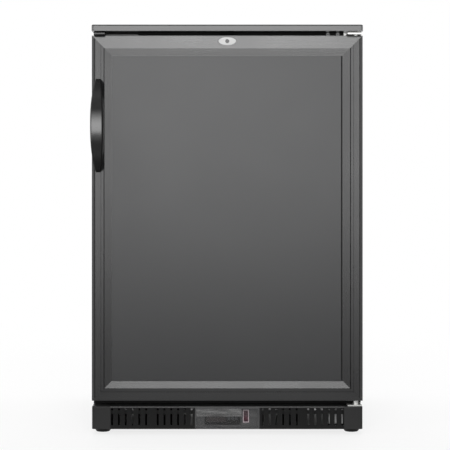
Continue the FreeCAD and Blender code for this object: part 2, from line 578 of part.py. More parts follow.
def make_controls():
    """The control panel in the base: housing, flap, thermostat with keys, rocker switch."""
    face_top = BASE_TOP - S.lip_tall
    wall = S.control_wall
    half = S.control_wide / 2
    fascia = FRONT + S.fascia_in
    fascia_back = fascia + S.fascia_thick
    behind = FRONT + S.control_deep
    mid = S.controller_mid
    bezel_low = BASE_LOW + S.bezel_rise - S.bezel_tall / 2
    bezel_mid = bezel_low + S.bezel_tall / 2
    inside = (-half + wall, half - wall)
    inside_z = (BASE_LOW + wall, face_top - wall)
    shell = box("housing_shell", (-half, half), (FRONT, behind), (BASE_LOW, face_top))
    front_space = box("housing_front", inside, (FRONT - OVERCUT, fascia), inside_z)
    rear_space = box("housing_rear", inside, (fascia_back, behind + OVERCUT), inside_z)
    cut_out = box("controller_hole", about(mid, S.body_wide + S.fit * 2),
                  (fascia - OVERCUT, fascia_back + OVERCUT),
                  about(bezel_mid, S.body_tall + S.fit * 2))
    switch_z = bezel_mid + S.switch_up
    switch_hole = box("switch_hole", about(S.switch_mid, S.switch_body_wide + S.fit * 2),
                      (fascia - OVERCUT, fascia_back + OVERCUT),
                      about(switch_z, S.switch_body_tall + S.fit * 2))
    flap_z = face_top - S.flap_pivot_down
    flap_y = FRONT + S.flap_in + S.flap_thick / 2
    pin_reach = wall - S.flap_side
    sockets = rod("flap_sockets", (-half + wall - pin_reach, flap_y, flap_z), S.flap_pin + S.pin_fit,
                  S.control_wide - (wall - pin_reach) * 2, "X")
    node(cut("housing_cut", shell, front_space, rear_space, cut_out, switch_hole, sockets), "control_housing")

    flap = box("flap_plate", (inside[0] + S.flap_side, inside[1] - S.flap_side),
               (FRONT + S.flap_in, FRONT + S.flap_in + S.flap_thick),
               (BASE_LOW + S.flap_low, flap_z + S.flap_over))
    flap_pins = rod("flap_pins", (-half + wall - pin_reach + S.fit, flap_y, flap_z), S.flap_pin,
                    S.control_wide - (wall - pin_reach + S.fit) * 2, "X")
    middle = box("flap_pin_middle", (inside[0] + S.flap_side + OVERCUT, inside[1] - S.flap_side - OVERCUT),
                 (flap_y - S.flap_pin * 2, flap_y + S.flap_pin * 2),
                 (flap_z - S.flap_pin * 2, flap_z + S.flap_pin * 2))
    node(fuse("flap_fuse", flap, cut("flap_pin_ends", flap_pins, middle)), "control_cover")

    bezel_front = fascia - S.bezel_thick
    bezel = box("bezel", about(mid, S.bezel_wide), (bezel_front, fascia),
                (bezel_low, bezel_low + S.bezel_tall))
    inner = box("controller_body", about(mid, S.body_wide), (fascia, fascia + S.body_deep),
                about(bezel_mid, S.body_tall))
    lens_low = mid - S.bezel_wide / 2 + S.lens_side
    lens_seat = (lens_low - S.fit, lens_low + S.lens_wide + S.fit)
    recess = box("lens_seat", lens_seat, (bezel_front - OVERCUT, bezel_front + S.lens_thick),
                 about(bezel_mid, S.lens_tall + S.fit * 2))
    keys = []
    wells = []
    for index, label in enumerate(("set", "up", "down")):
        key_x = S.key_first + S.key_pitch * index
        key_front = bezel_front - S.key_proud
        key = box(f"key_{label}", about(key_x, S.key_wide), (key_front, key_front + S.key_deep),
                  about(bezel_mid, S.key_tall))
        well_back = key_front + S.key_deep + S.key_travel + S.key_gap
        wells.append(box(f"key_well_{label}", about(key_x, S.key_wide + S.key_gap * 2),
                         (bezel_front - OVERCUT, well_back), about(bezel_mid, S.key_tall + S.key_gap * 2)))
        keys.append((key, f"button_{label}"))
    node(cut("controller_cut", fuse("controller_fuse", bezel, inner), recess, *wells), "controller")
    node(box("lens", (lens_low, lens_low + S.lens_wide), (bezel_front, bezel_front + S.lens_thick),
             about(bezel_mid, S.lens_tall)), "display_lens")
    for key, label in keys:
        node(key, label)

    middle_x = S.switch_mid
    rocker_y = fascia + S.rocker_front / 2
    mouth_wide = S.rocker_wide + S.rocker_side * 2
    mouth_tall = S.rocker_tall + S.rocker_end * 2
    flange = box("switch_flange", about(middle_x, S.switch_wide), (fascia - S.switch_flange, fascia),
                 about(switch_z, S.switch_tall))
    can = box("switch_can", about(middle_x, S.switch_body_wide), (fascia, fascia + S.switch_body_deep),
              about(switch_z, S.switch_body_tall))
    mouth = box("switch_mouth", about(middle_x, mouth_wide),
                (fascia - S.switch_flange - OVERCUT, fascia + S.switch_body_deep - S.control_wall),
                about(switch_z, mouth_tall))
    pin_span = mouth_wide + S.rocker_side * 4
    bearing = rod("rocker_bearing", (middle_x - pin_span / 2, rocker_y, switch_z), S.rocker_pin + S.pin_fit,
                  pin_span, "X")
    node(cut("switch_cut", fuse("switch_fuse", flange, can), mouth, bearing), "switch_body")
    high = S.rocker_tall / 2
    face = [(-S.rocker_front, -high), (S.rocker_back, -high), (S.rocker_back, high), (-S.rocker_front, high),
            (S.rocker_dish - S.rocker_front, 0)]
    rocker = new_body("rocker_body", "YZ", about(0, S.rocker_wide), ("outline", face))
    add_pad(rocker, "YZ", about(0, pin_span - S.rocker_side), ("circle", 0, 0, S.rocker_pin))
    node(place(rocker, (middle_x, rocker_y, switch_z), FreeCAD.Rotation(V(1, 0, 0), -S.rocker_tilt.value)),
         "power_switch")


def make_hinges():
    """Hinge plates with their pins, the spare seat's plate, and the screws that show."""
    half_plate = S.hinge_plate_wide / 2
    plate_mid = PIVOT_X - S.pivot_in / 2 + S.pin_radius
    plate_span = about(plate_mid, S.hinge_plate_wide)
    flange_low = DOOR_TOP + S.hinge_lift
    flange = box("top_flange", (plate_span[1] - S.flange_long, plate_span[1]),
                 (SEAL - S.hinge_plate, SEAL), (flange_low, flange_low + S.flange_tall))
    arm = new_body("top_arm", "XY", (flange_low, flange_low + S.hinge_plate),
                   ("outline", rectangle(plate_span, (PIVOT_Y - half_plate, SEAL))))
    soften(arm, S.lip_round, lambda edge: upright(edge) and near(edge.BoundBox.YMin, PIVOT_Y - half_plate))
    screws = flange_screws()
    holes = [rod(f"flange_hole_{index}", (x, SEAL - S.hinge_plate - OVERCUT, z), S.screw_radius + S.fit,
                 S.hinge_plate + OVERCUT * 2, "Y") for index, (x, z) in enumerate(screws)]
    top_plate = cut("top_plate", fuse("top_fuse", flange, arm), *holes)
    top_pin = rod("top_pin", (PIVOT_X, PIVOT_Y, DOOR_TOP - S.bush_long + S.bush_gap), S.pin_radius,
                  flange_low - DOOR_TOP + S.bush_long - S.bush_gap)
    node(group("top_group", top_plate, top_pin), "hinge_top")

    low_plate = new_body("low_plate", "XY", (BASE_TOP, BASE_TOP + S.hinge_plate),
                         ("outline", rectangle(plate_span, (PIVOT_Y - half_plate, SEAL - S.fit))))
    soften(low_plate, S.lip_round,
           lambda edge: upright(edge) and near(edge.BoundBox.YMin, PIVOT_Y - half_plate))
    collar_top = DOOR_LOW - S.bush_gap
    collar = rod("low_collar", (PIVOT_X, PIVOT_Y, BASE_TOP + S.hinge_plate), S.bush_radius,
                 collar_top - BASE_TOP - S.hinge_plate)
    low_pin = rod("low_pin", (PIVOT_X, PIVOT_Y, collar_top), S.pin_radius, S.bush_long)
    leg_y = FRONT + S.leg_deep
    ledge_low = BASE_TOP - S.ledge_thick
    leg_span = about(S.leg_out, S.leg_wide)
    leg = box("low_leg", leg_span, (leg_y, leg_y + S.hinge_plate), (S.leg_low, ledge_low))
    foot = box("low_leg_foot", leg_span, (leg_y, SEAL), (ledge_low - S.hinge_plate, ledge_low))
    node(group("low_group", fuse("low_fuse", low_plate, collar, low_pin), fuse("leg_fuse", leg, foot)),
         "hinge_bottom")

    low = -DOOR_HALF + S.spare_in
    strip = box("spare_strip", (low, low + S.spare_strip_long), (SEAL - S.hinge_plate, SEAL),
                (flange_low, flange_low + S.spare_strip_tall))
    pad = box("spare_pad", (low, low + S.spare_plate_wide), (PIVOT_Y - half_plate, SEAL),
              (flange_low, flange_low + S.hinge_plate))
    node(fuse("spare_fuse", strip, pad), "spare_hinge_plate")

    parts = [make_screw(f"flange_screw_{index}", (x, SEAL - S.hinge_plate, z), S.frame_deep)
             for index, (x, z) in enumerate(screws)]
    for index, (x, z) in enumerate(cover_screws()):
        head = rod(f"rear_head_{index}", (x, BACK, z), S.screw_head, S.screw_head_tall, "Y")
        shank = rod(f"rear_shank_{index}", (x, BACK - S.outer_skin, z), S.screw_radius, S.outer_skin, "Y")
        parts.append(fuse(f"rear_screw_{index}", head, shank))
    node(group("screw_group", *parts), "cabinet_screws")


def cover_screws():
    """Centres of the rear cover's screws."""
    low = PLATE_TOP + S.cover_screw_in
    high = S.bay_ceiling - S.cover_screw_in
    return [(side * (HALF - S.cover_screw_edge), z) for side in (-1, 1) for z in (low, high)]


RAILS = {
    "top": ((V(-1, 0, 0), V(0, 0, -1), V(0, -1, 0)), (0, FRONT, DOOR_TOP), DOOR_HALF * 2),
    "bottom": ((V(1, 0, 0), V(0, 0, 1), V(0, -1, 0)), (0, FRONT, DOOR_LOW), DOOR_HALF * 2),
    "handle_side": ((V(0, 0, -1), V(1, 0, 0), V(0, -1, 0)), (-DOOR_HALF, FRONT, (DOOR_TOP + DOOR_LOW) / 2),
                    DOOR_TALL),
    "hinge_side": ((V(0, 0, 1), V(-1, 0, 0), V(0, -1, 0)), (DOOR_HALF, FRONT, (DOOR_TOP + DOOR_LOW) / 2),
                   DOOR_TALL),
}


def band(inward):
    """Height of the rail's sloping outer band at a distance in from the door's edge."""
    return -(S.band_drop * (1 - inward / S.ridge_in))


def line_cut(inward, wide, deep):
    """Four corners of a fine line sunk into the sloping band."""
    low, high = inward - wide / 2, inward + wide / 2
    return [(low, band(low)), (low, band(low) - deep), (high, band(high) - deep), (high, band(high))]


def rail_section(label):
    """Section of one door rail: outer edge at 0, ridge at height 0, back at minus the thickness."""
    upright = label in ("handle_side", "hinge_side")
    seat_back = S.panel_seat + S.panel_thick + S.fit
    tuck = S.rail_wide - S.panel_tuck
    inner_face = S.door_thick - S.rail_flange
    points = [(0, -S.door_thick), (0, -S.band_drop)]
    if upright:
        points += line_cut(S.edge_line_in, S.broad_line, S.broad_line_deep)
    if label != "top":
        points += line_cut(S.second_line_in, S.fine_line, S.fine_line_deep)
    if upright:
        points += line_cut(S.ridge_line_in, S.broad_line, S.broad_line_deep)
    points += [(S.ridge_in, 0), (S.bevel_in, -S.bevel_drop), (S.rail_wide, -S.bevel_drop),
               (S.rail_wide, -S.panel_seat),
               (tuck, -S.panel_seat), (tuck, -seat_back), (S.rail_wide, -seat_back),
               (S.rail_wide, -S.rail_skin),
               (S.rail_wall, -S.rail_skin), (S.rail_wall, -inner_face), (S.rail_wide, -inner_face),
               (S.rail_wide, -S.door_thick)]
    return points


def make_rail(label):
    """One mitred rail, along its own X, with its outer edge at Y 0 and its ridge at Z 0."""
    axes, at, long = RAILS[label]
    section = rail_section(label)
    rail = new_body(f"rail_{label}", "YZ", about(0, long), ("outline", section))
    over = S.rail_wide + OVERCUT
    for end in (-1, 1):
        mitre = [((long / 2 + OVERCUT) * end, -OVERCUT), ((long / 2 + OVERCUT) * end, over),
                 ((long / 2 - over) * end, over)]
        add_pocket(rail, "XY", (-S.door_thick - OVERCUT, OVERCUT), ("outline", mitre))
    return place(rail, at, FreeCAD.Rotation(*axes, "XYZ"))


def oval(name, grow, ys):
    """A lying oval about the lock's axis."""
    return new_body(name, "XZ", ys, ("ellipse", 0, LOCK_Z, S.lock_wide / 2 + grow, S.lock_tall / 2 + grow))


def make_door():
    """The door: mitred rails, panels, insulation, gasket, bushes, lock and handle."""
    bore_top = (PIVOT_X, PIVOT_Y, DOOR_TOP - S.bush_long - S.fit)
    bore_low = (PIVOT_X, PIVOT_Y, DOOR_LOW - OVERCUT)
    bore_long = S.bush_long + S.fit + OVERCUT

    def bores(label):
        """Seats of the two bushes, one tool each time because a tool serves one cut."""
        return [rod(f"{label}_bore_{index}", at, S.bush_radius + S.fit / 2, bore_long)
                for index, at in enumerate((bore_top, bore_low))]

    cam_back = S.cam_start + S.cam_thick
    lock_seat = oval("lock_seat", S.fit, (FRONT - OVERCUT, FRONT + S.lock_back))
    barrel_seat = rod("barrel_seat", (0, FRONT, LOCK_Z), S.barrel_radius + S.fit, S.rail_skin + OVERCUT, "Y")
    cam_slot = box("cam_slot", (-S.cam_long - S.cam_wide / 4, S.cam_wide),
                   (FRONT + S.barrel_back, FRONT + cam_back + S.strike_gap),
                   (DOOR_TOP - S.rail_wall - OVERCUT, DOOR_TOP + OVERCUT))
    node(cut("rail_top_cut", make_rail("top"), *bores("top"), lock_seat, barrel_seat, cam_slot),
         "door_rail_top")
    node(cut("rail_low_cut", make_rail("bottom"), *bores("bottom")), "door_rail_bottom")
    node(cut("rail_hinge_cut", make_rail("hinge_side"), *bores("side")), "door_rail_hinge_side")
    screw_spots = [DOOR_TOP - S.handle_drop + sign * S.handle_screw_apart / 2 for sign in (-1, 1)]
    handle_mid_x = -DOOR_HALF + S.handle_in
    skin_back = FRONT + S.rail_skin
    screw_start = skin_back - S.handle_screw_long
    holes = [rod(f"handle_hole_{index}", (handle_mid_x, screw_start - S.fit, z),
                 S.handle_screw_radius + S.fit,
                 S.handle_screw_long + OVERCUT, "Y") for index, z in enumerate(screw_spots)]
    node(cut("rail_handle_cut", make_rail("handle_side"), *holes), "door_rail_handle_side")

    edge = S.rail_wide - S.panel_tuck + S.fit
    panel_right = DOOR_HALF - S.rail_wide - S.panel_open_line
    panel_y = (FRONT + S.panel_seat, FRONT + S.panel_seat + S.panel_thick)
    node(box("panel", (-DOOR_HALF + edge, panel_right), panel_y, (DOOR_LOW + edge, DOOR_TOP - edge)),
         "door_front_panel")

    wall = S.rail_wall
    core = box("core", (-DOOR_HALF + wall, DOOR_HALF - wall), (skin_back, DOOR_BACK - S.rail_flange),
               (DOOR_LOW + wall, DOOR_TOP - wall))
    inset = S.rail_wide + S.fit
    field = box("core_field", (-DOOR_HALF + inset, panel_right), (panel_y[1], skin_back),
                (DOOR_LOW + inset, DOOR_TOP - inset))
    back_field = box("core_back", (-DOOR_HALF + inset, DOOR_HALF - inset),
                     (DOOR_BACK - S.rail_flange, DOOR_BACK),
                     (DOOR_LOW + inset, DOOR_TOP - inset))
    reach = S.cam_long + S.cam_wide / 2
    lock_space = box("lock_space", (-reach, reach), (skin_back - OVERCUT, FRONT + cam_back + S.strike_gap),
                     (LOCK_Z - reach, DOOR_TOP))
    screw_space = [rod(f"screw_space_{index}", (handle_mid_x, skin_back - OVERCUT, z), S.screw_head + S.fit,
                       S.handle_screw_radius + OVERCUT, "Y") for index, z in enumerate(screw_spots)]
    node(cut("core_cut", fuse("core_fuse", core, field, back_field), lock_space, *bores("core"),
             *screw_space),
         "door_foam")

    inner_in = S.inner_panel_in
    inner_back = DOOR_BACK + S.inner_panel_thick
    plug_end = SEAL + S.plug_reach
    inner = new_body("inner_body", "XZ", (inner_back, plug_end),
                     ("outline", rectangle(about(0, (INNER_HALF - S.plug_gap) * 2),
                                           (FLOOR + S.plug_gap_low, CEILING - S.plug_gap_top))))
    soften(inner, S.plug_corner, level)
    soften(inner, S.lip_round, lambda line: near(line.BoundBox.YMin, plug_end))
    add_pad(inner, "XZ", (DOOR_BACK, inner_back),
            ("outline", rectangle((-DOOR_HALF + inner_in, DOOR_HALF - inner_in),
                                  (DOOR_LOW + inner_in, DOOR_TOP - inner_in))))
    node(inner, "door_inner_panel")

    seal_y = (DOOR_BACK, SEAL - S.gasket_gap)
    outer_in = S.gasket_in
    gasket = new_body("gasket_body", "XZ", seal_y,
                      ("outline", rectangle((-DOOR_HALF + outer_in, DOOR_HALF - outer_in),
                                            (DOOR_LOW + outer_in, DOOR_TOP - outer_in))))
    inner_edge = S.gasket_in + S.gasket_wide
    add_pocket(gasket, "XZ", seal_y,
               ("outline", rectangle((-DOOR_HALF + inner_edge, DOOR_HALF - inner_edge),
                                     (DOOR_LOW + inner_edge, DOOR_TOP - inner_edge))))
    node(gasket, "door_gasket")

    bushes = []
    for index, start in enumerate((DOOR_TOP - S.bush_long, DOOR_LOW)):
        bush = new_body(f"bush_{index}", "XY", (start, start + S.bush_long),
                        ("circle", PIVOT_X, PIVOT_Y, S.bush_radius))
        add_pocket(bush, "XY", (start, start + S.bush_long),
                   ("circle", PIVOT_X, PIVOT_Y, S.pin_radius + S.pin_fit))
        bushes.append(bush)
    node(group("bush_group", *bushes), "hinge_bushes")
    make_lock()
    make_handle(handle_mid_x, screw_spots, screw_start)


def make_lock():
    """The lock's oval case and barrel, its turning plug with the cam, and the strike on the cabinet."""
    case = oval("lock_face", 0, (FRONT + S.lock_proud, FRONT + S.lock_back))
    soften(case, S.lock_proud / 3, lambda edge: near(edge.BoundBox.YMax, FRONT + S.lock_proud))
    barrel = rod("barrel", (0, FRONT + S.lock_back - OVERCUT, LOCK_Z), S.barrel_radius,
                 S.barrel_back - S.lock_back + OVERCUT, "Y")
    bore = rod("lock_bore", (0, FRONT, LOCK_Z), S.plug_radius + S.fit, S.barrel_back + OVERCUT, "Y")
    node(cut("lock_cut", fuse("lock_fuse", case, barrel), bore), "lock_case")

    plug_front = FRONT + S.lock_proud - S.screw_head_tall / 4
    plug = rod("plug", (0, plug_front, LOCK_Z), S.plug_radius,
               S.cam_start - S.lock_proud + S.screw_head_tall / 4, "Y")
    keyway = box("keyway", about(0, S.keyway_wide), (plug_front - OVERCUT, plug_front + S.keyway_deep),
                 about(LOCK_Z, S.keyway_tall))
    cam = box("cam", (-S.cam_long, S.cam_wide / 2), (FRONT + S.cam_start, FRONT + S.cam_start + S.cam_thick),
              about(LOCK_Z, S.cam_wide))
    node(group("plug_group", cut("plug_cut", plug, keyway), cam), "lock_plug")

    tab_back = FRONT + S.cam_start - S.strike_gap
    under = CABINET_TOP
    tab = box("strike_tab", about(0, S.strike_wide), (tab_back - S.strike_thick, tab_back),
              (DOOR_TOP + S.hinge_lift, under))
    root = box("strike_root", about(0, S.strike_wide), (tab_back - S.strike_thick, SEAL),
               (under - S.strike_thick, under))
    node(fuse("strike_fuse", tab, root), "lock_strike")


def bow_section(width, out, back):
    """Section of the bow: a share of its width, flat in front, with both front edges chamfered."""
    side = S.handle_wide * width / 2
    chamfer = S.handle_chamfer * width
    return [(-side, -back), (-side, chamfer - out), (chamfer - side, -out), (side - chamfer, -out),
            (side, chamfer - out), (side, -back)]


def make_handle(mid_x, screw_spots, screw_start):
    """The bow handle: sections lofted up the bow, trimmed to lie on the rail's sloping band."""
    stand = S.handle_out
    thick = S.handle_thick
    half = S.handle_long / 2
    # share of the half length, width, front and back of the bow, both measured out from the ridge
    stations = [(1, 0.33, stand * -0.04, -S.band_drop * 1.1), (0.93, 0.45, stand * 0.2, -S.band_drop),
                (0.8, 0.63, stand * 0.47, stand * -0.02),
                (0.62, 0.81, stand * 0.71, stand * 0.71 - thick * 1.15),
                (0.33, 0.96, stand * 0.925, stand * 0.925 - thick), (0, 1, stand, stand - thick)]
    rings = [(-share, *sizes) for share, *sizes in stations] + stations[-2::-1]
    handle = doc.addObject("PartDesign::Body", "bow_body")
    sketches = [new_sketch(handle, "XY", as_dim(half * share), [("outline", bow_section(*sizes))])
                for share, *sizes in rings]
    loft = handle.newObject("PartDesign::AdditiveLoft", "bow_loft")
    loft.Profile = sketches[0]
    loft.Sections = sketches[1:]
    doc.recompute()
    handle_z = DOOR_TOP - S.handle_drop
    place(handle, (mid_x, FRONT, handle_z))
    slope = [(-DOOR_HALF - OVERCUT, FRONT + S.band_drop * (1 + OVERCUT / S.ridge_in)),
             (-DOOR_HALF + S.ridge_in, FRONT), (-DOOR_HALF + S.rail_wide, FRONT),
             (-DOOR_HALF + S.rail_wide, FRONT + S.door_thick), (-DOOR_HALF - OVERCUT, FRONT + S.door_thick)]
    wedge = new_body("band_wedge", "XY", (handle_z - S.handle_long, handle_z + S.handle_long),
                     ("outline", slope))
    holes = [rod(f"handle_thread_{index}", (mid_x, screw_start - S.fit, z), S.handle_screw_radius + S.fit,
                 S.handle_screw_long, "Y") for index, z in enumerate(screw_spots)]
    node(cut("bow_cut", handle, wedge, *holes), "handle")

    screws = []
    for index, z in enumerate(screw_spots):
        shank = rod(f"handle_shank_{index}", (mid_x, screw_start, z), S.handle_screw_radius,
                    S.handle_screw_long, "Y")
        head = rod(f"handle_head_{index}", (mid_x, screw_start + S.handle_screw_long, z), S.screw_head,
                   S.screw_head_tall, "Y")
        screws.append(fuse(f"handle_screw_{index}", shank, head))
    node(group("handle_screw_group", *screws), "handle_screws")


def make_fan(label, centre, along, hub, reach, depth, bore):
    """A five-bladed fan with pitched, widening blades on a bored hub."""
    hub, reach, depth, bore = (as_dim(length).value for length in (hub, reach, depth, bore))
    shape = Part.makeCylinder(hub, depth, V(0, 0, -depth / 2))
    half_thick = S.liner_skin.value * 0.8
    for index in range(5):
        sections = []
        for radius, chord, pitch in ((hub * 0.85, depth * 1.2, 48), (reach, depth * 1.9, 24)):
            turn = math.radians(pitch)
            way = V(0, math.cos(turn), math.sin(turn)) * (chord / 2)
            side = V(0, -math.sin(turn), math.cos(turn)) * half_thick
            middle = V(radius, 0, 0)
            corners = [middle - way - side, middle + way - side, middle + way + side, middle - way + side]
            sections.append(Part.makePolygon(corners + corners[:1]))
        blade = Part.makeLoft(sections, True, True)
        blade.rotate(V(), V(0, 0, 1), index * 72)
        shape = shape.fuse(blade)
    shape = shape.cut(Part.makeCylinder(bore, depth * 2, V(0, 0, -depth)))
    return node(place(solid_feature(f"{label}_shape", shape), centre, TURN[along]), label)


def make_tube(name, points, radius, bend):
    """A round tube along straight runs joined by arcs of one bend radius."""
    radius, bend = as_dim(radius).value, as_dim(bend).value
    points = [V(*(as_dim(length).value for length in point)) for point in points]
    edges = []
    last = points[0]
    for before, corner, after in zip(points, points[1:], points[2:]):
        way_in, way_out = (corner - before).normalize(), (after - corner).normalize()
        turn = way_in.getAngle(way_out)
        back_off = bend * math.tan(turn / 2)
        start, end = corner - way_in * back_off, corner + way_out * back_off
        inward = (way_out - way_in).normalize()
        middle = corner + inward * (bend / math.cos(turn / 2) - bend)
        edges += [Part.LineSegment(last, start).toShape(), Part.Arc(start, middle, end).toShape()]
        last = end
    edges.append(Part.LineSegment(last, points[-1]).toShape())
    ring = Part.Wire(Part.Circle(points[0], points[1] - points[0], radius).toShape())
    shape = Part.Wire(edges).makePipeShell([ring], True, False)
    length = sum(edge.Length for edge in edges)
    if abs(shape.Volume / (math.pi * radius ** 2 * length) - 1) > 0.02:
        raise RuntimeError(f"{name} has the wrong volume")
    return place(solid_feature(name, shape), (0, 0, 0))


def make_shelves():
    """Two lift-out wire shelves, the upright strips and clips that carry them."""
    wide = (INNER_HALF - S.shelf_side) * 2
    ys = (FRAME_BACK + S.shelf_front, INNER_BACK - S.cover_deep - S.shelf_back)
    count = int(S.shelf_wires.value)
    pitch = (wide - S.shelf_rod * 4) / (count + 1)
    levels = {"lower": STEP_TOP + S.shelf_low_rise, "upper": STEP_TOP + S.shelf_low_rise + S.shelf_high_rise}
    clips = []
    strips = []
    strip_ys = [FRAME_BACK + S.strip_front, INNER_BACK - S.strip_back]
    for side in (-1, 1):
        wall = sorted((side * INNER_HALF, side * (INNER_HALF - S.strip_thick)),
                      key=lambda length: length.value)
        hook = sorted((side * (INNER_HALF - S.strip_thick),
                       side * (INNER_HALF - S.strip_thick - S.clip_long)),
                      key=lambda length: length.value)
        for row, y in enumerate(strip_ys):
            strips.append(box(f"strip_{side + 1}_{row}", wall, about(y, S.strip_wide),
                              (STEP_TOP + S.strip_foot, CEILING - S.strip_gap)))
            for label, level in levels.items():
                clip_top = level - S.shelf_rod - S.shelf_rest
                clips.append(box(f"clip_{label}_{side + 1}_{row}", hook, about(y, S.clip_wide),
                                 (clip_top - S.clip_tall, clip_top)))
    node(group("strip_group", *strips, *clips), "shelf_supports")
    for label, level in levels.items():
        rods = []
        for row, y in enumerate((ys[0] + S.shelf_rod, (ys[0] + ys[1]) / 2, ys[1] - S.shelf_rod)):
            rods.append(rod(f"{label}_cross_{row}", (-wide / 2 + S.shelf_rod, y, level), S.shelf_rod,
                            wide - S.shelf_rod * 2, "X"))
        for side in (-1, 1):
            rods.append(rod(f"{label}_side_{side + 1}", (side * (wide / 2 - S.shelf_rod), ys[0], level),
                            S.shelf_rod, ys[1] - ys[0], "Y"))
        wire_z = level + S.shelf_rod + S.shelf_wire / 2
        for index in range(count):
            x = -wide / 2 + S.shelf_rod * 2 + pitch * (index + 1)
            rods.append(rod(f"{label}_wire_{index}", (x, ys[0], wire_z), S.shelf_wire, ys[1] - ys[0], "Y"))
        node(fuse(f"{label}_shelf", *rods), f"shelf_{label}")


def make_cold_side():
    """The interior light, and the evaporator with its cover and fan."""
    node(box("light", about(0, S.light_long),
             (FRAME_BACK + S.light_in, FRAME_BACK + S.light_in + S.light_wide),
             (CEILING - S.light_tall, CEILING)), "led_light")
    cover_top = CEILING - S.cover_down
    cover_low = cover_top - S.cover_tall
    cover_front = INNER_BACK - S.cover_deep
    fan_z = cover_top - S.cold_fan_down
    skin = S.cover_skin
    cover = new_body("cover_body", "XZ", (cover_front, INNER_BACK),
                     ("outline", rectangle(about(0, S.cover_wide), (cover_low, cover_top))))
    soften(cover, S.lip_round, lambda edge: near(edge.BoundBox.YMax, cover_front))
    hollow = box("cover_space", about(0, S.cover_wide - skin * 2), (cover_front + skin, INNER_BACK + OVERCUT),
                 (cover_low + skin, cover_top - skin))
    mouth = rod("cover_mouth", (0, cover_front - OVERCUT, fan_z), S.cold_fan_hole, S.cover_deep / 2, "Y")
    slots = [box(f"cover_slot_{side + 1}", about(side * S.cover_wide / 4, S.cover_wide / 3),
                 (cover_front - OVERCUT, cover_front + skin * 2),
                 (cover_low + S.coil_rise, cover_low + S.coil_rise + S.fin_gap)) for side in (-1, 1)]
    node(cut("cover_cut", cover, hollow, mouth, *slots), "evaporator_cover")

    coil_low = cover_low + S.coil_rise
    coil_front = INNER_BACK - S.coil_deep
    coil = new_body("coil_body", "XY", (coil_low, coil_low + S.coil_tall),
                    ("outline", rectangle(about(0, S.coil_wide), (coil_front, INNER_BACK))))
    first = -S.fin_pitch * (S.fin_count - 1) / 2
    fin_space = add_pocket(coil, "XY", (coil_low - OVERCUT, coil_low + S.coil_tall + OVERCUT),
                           ("outline", rectangle(about(first, S.fin_gap),
                                                 (coil_front - OVERCUT, INNER_BACK - S.fin_root))))
    repeat(coil, fin_space, "H_Axis", S.fin_pitch, S.fin_count)
    node(coil, "evaporator_coil")

    bracket = box("cold_bracket", about(0, S.cold_bracket_long),
                  (INNER_BACK - S.cold_bracket_thick, INNER_BACK), about(fan_z, S.cold_bracket_tall))
    motor_front = INNER_BACK - S.cold_bracket_thick - S.cold_motor_deep
    motor = rod("cold_motor", (0, motor_front, fan_z), S.cold_motor_radius, S.cold_motor_deep + OVERCUT, "Y")
    shaft = rod("cold_shaft", (0, motor_front - S.cold_shaft_long, fan_z), S.motor_shaft,
                S.cold_shaft_long + OVERCUT, "Y")
    node(fuse("cold_motor_fuse", bracket, motor, shaft), "evaporator_fan_motor")
    fan_y = motor_front - OVERCUT - S.fan_depth / 2
    make_fan("evaporator_fan", (0, fan_y, fan_z), "Y", S.fan_hub, S.cold_fan_radius, S.fan_depth,
             S.motor_shaft + S.shaft_fit)


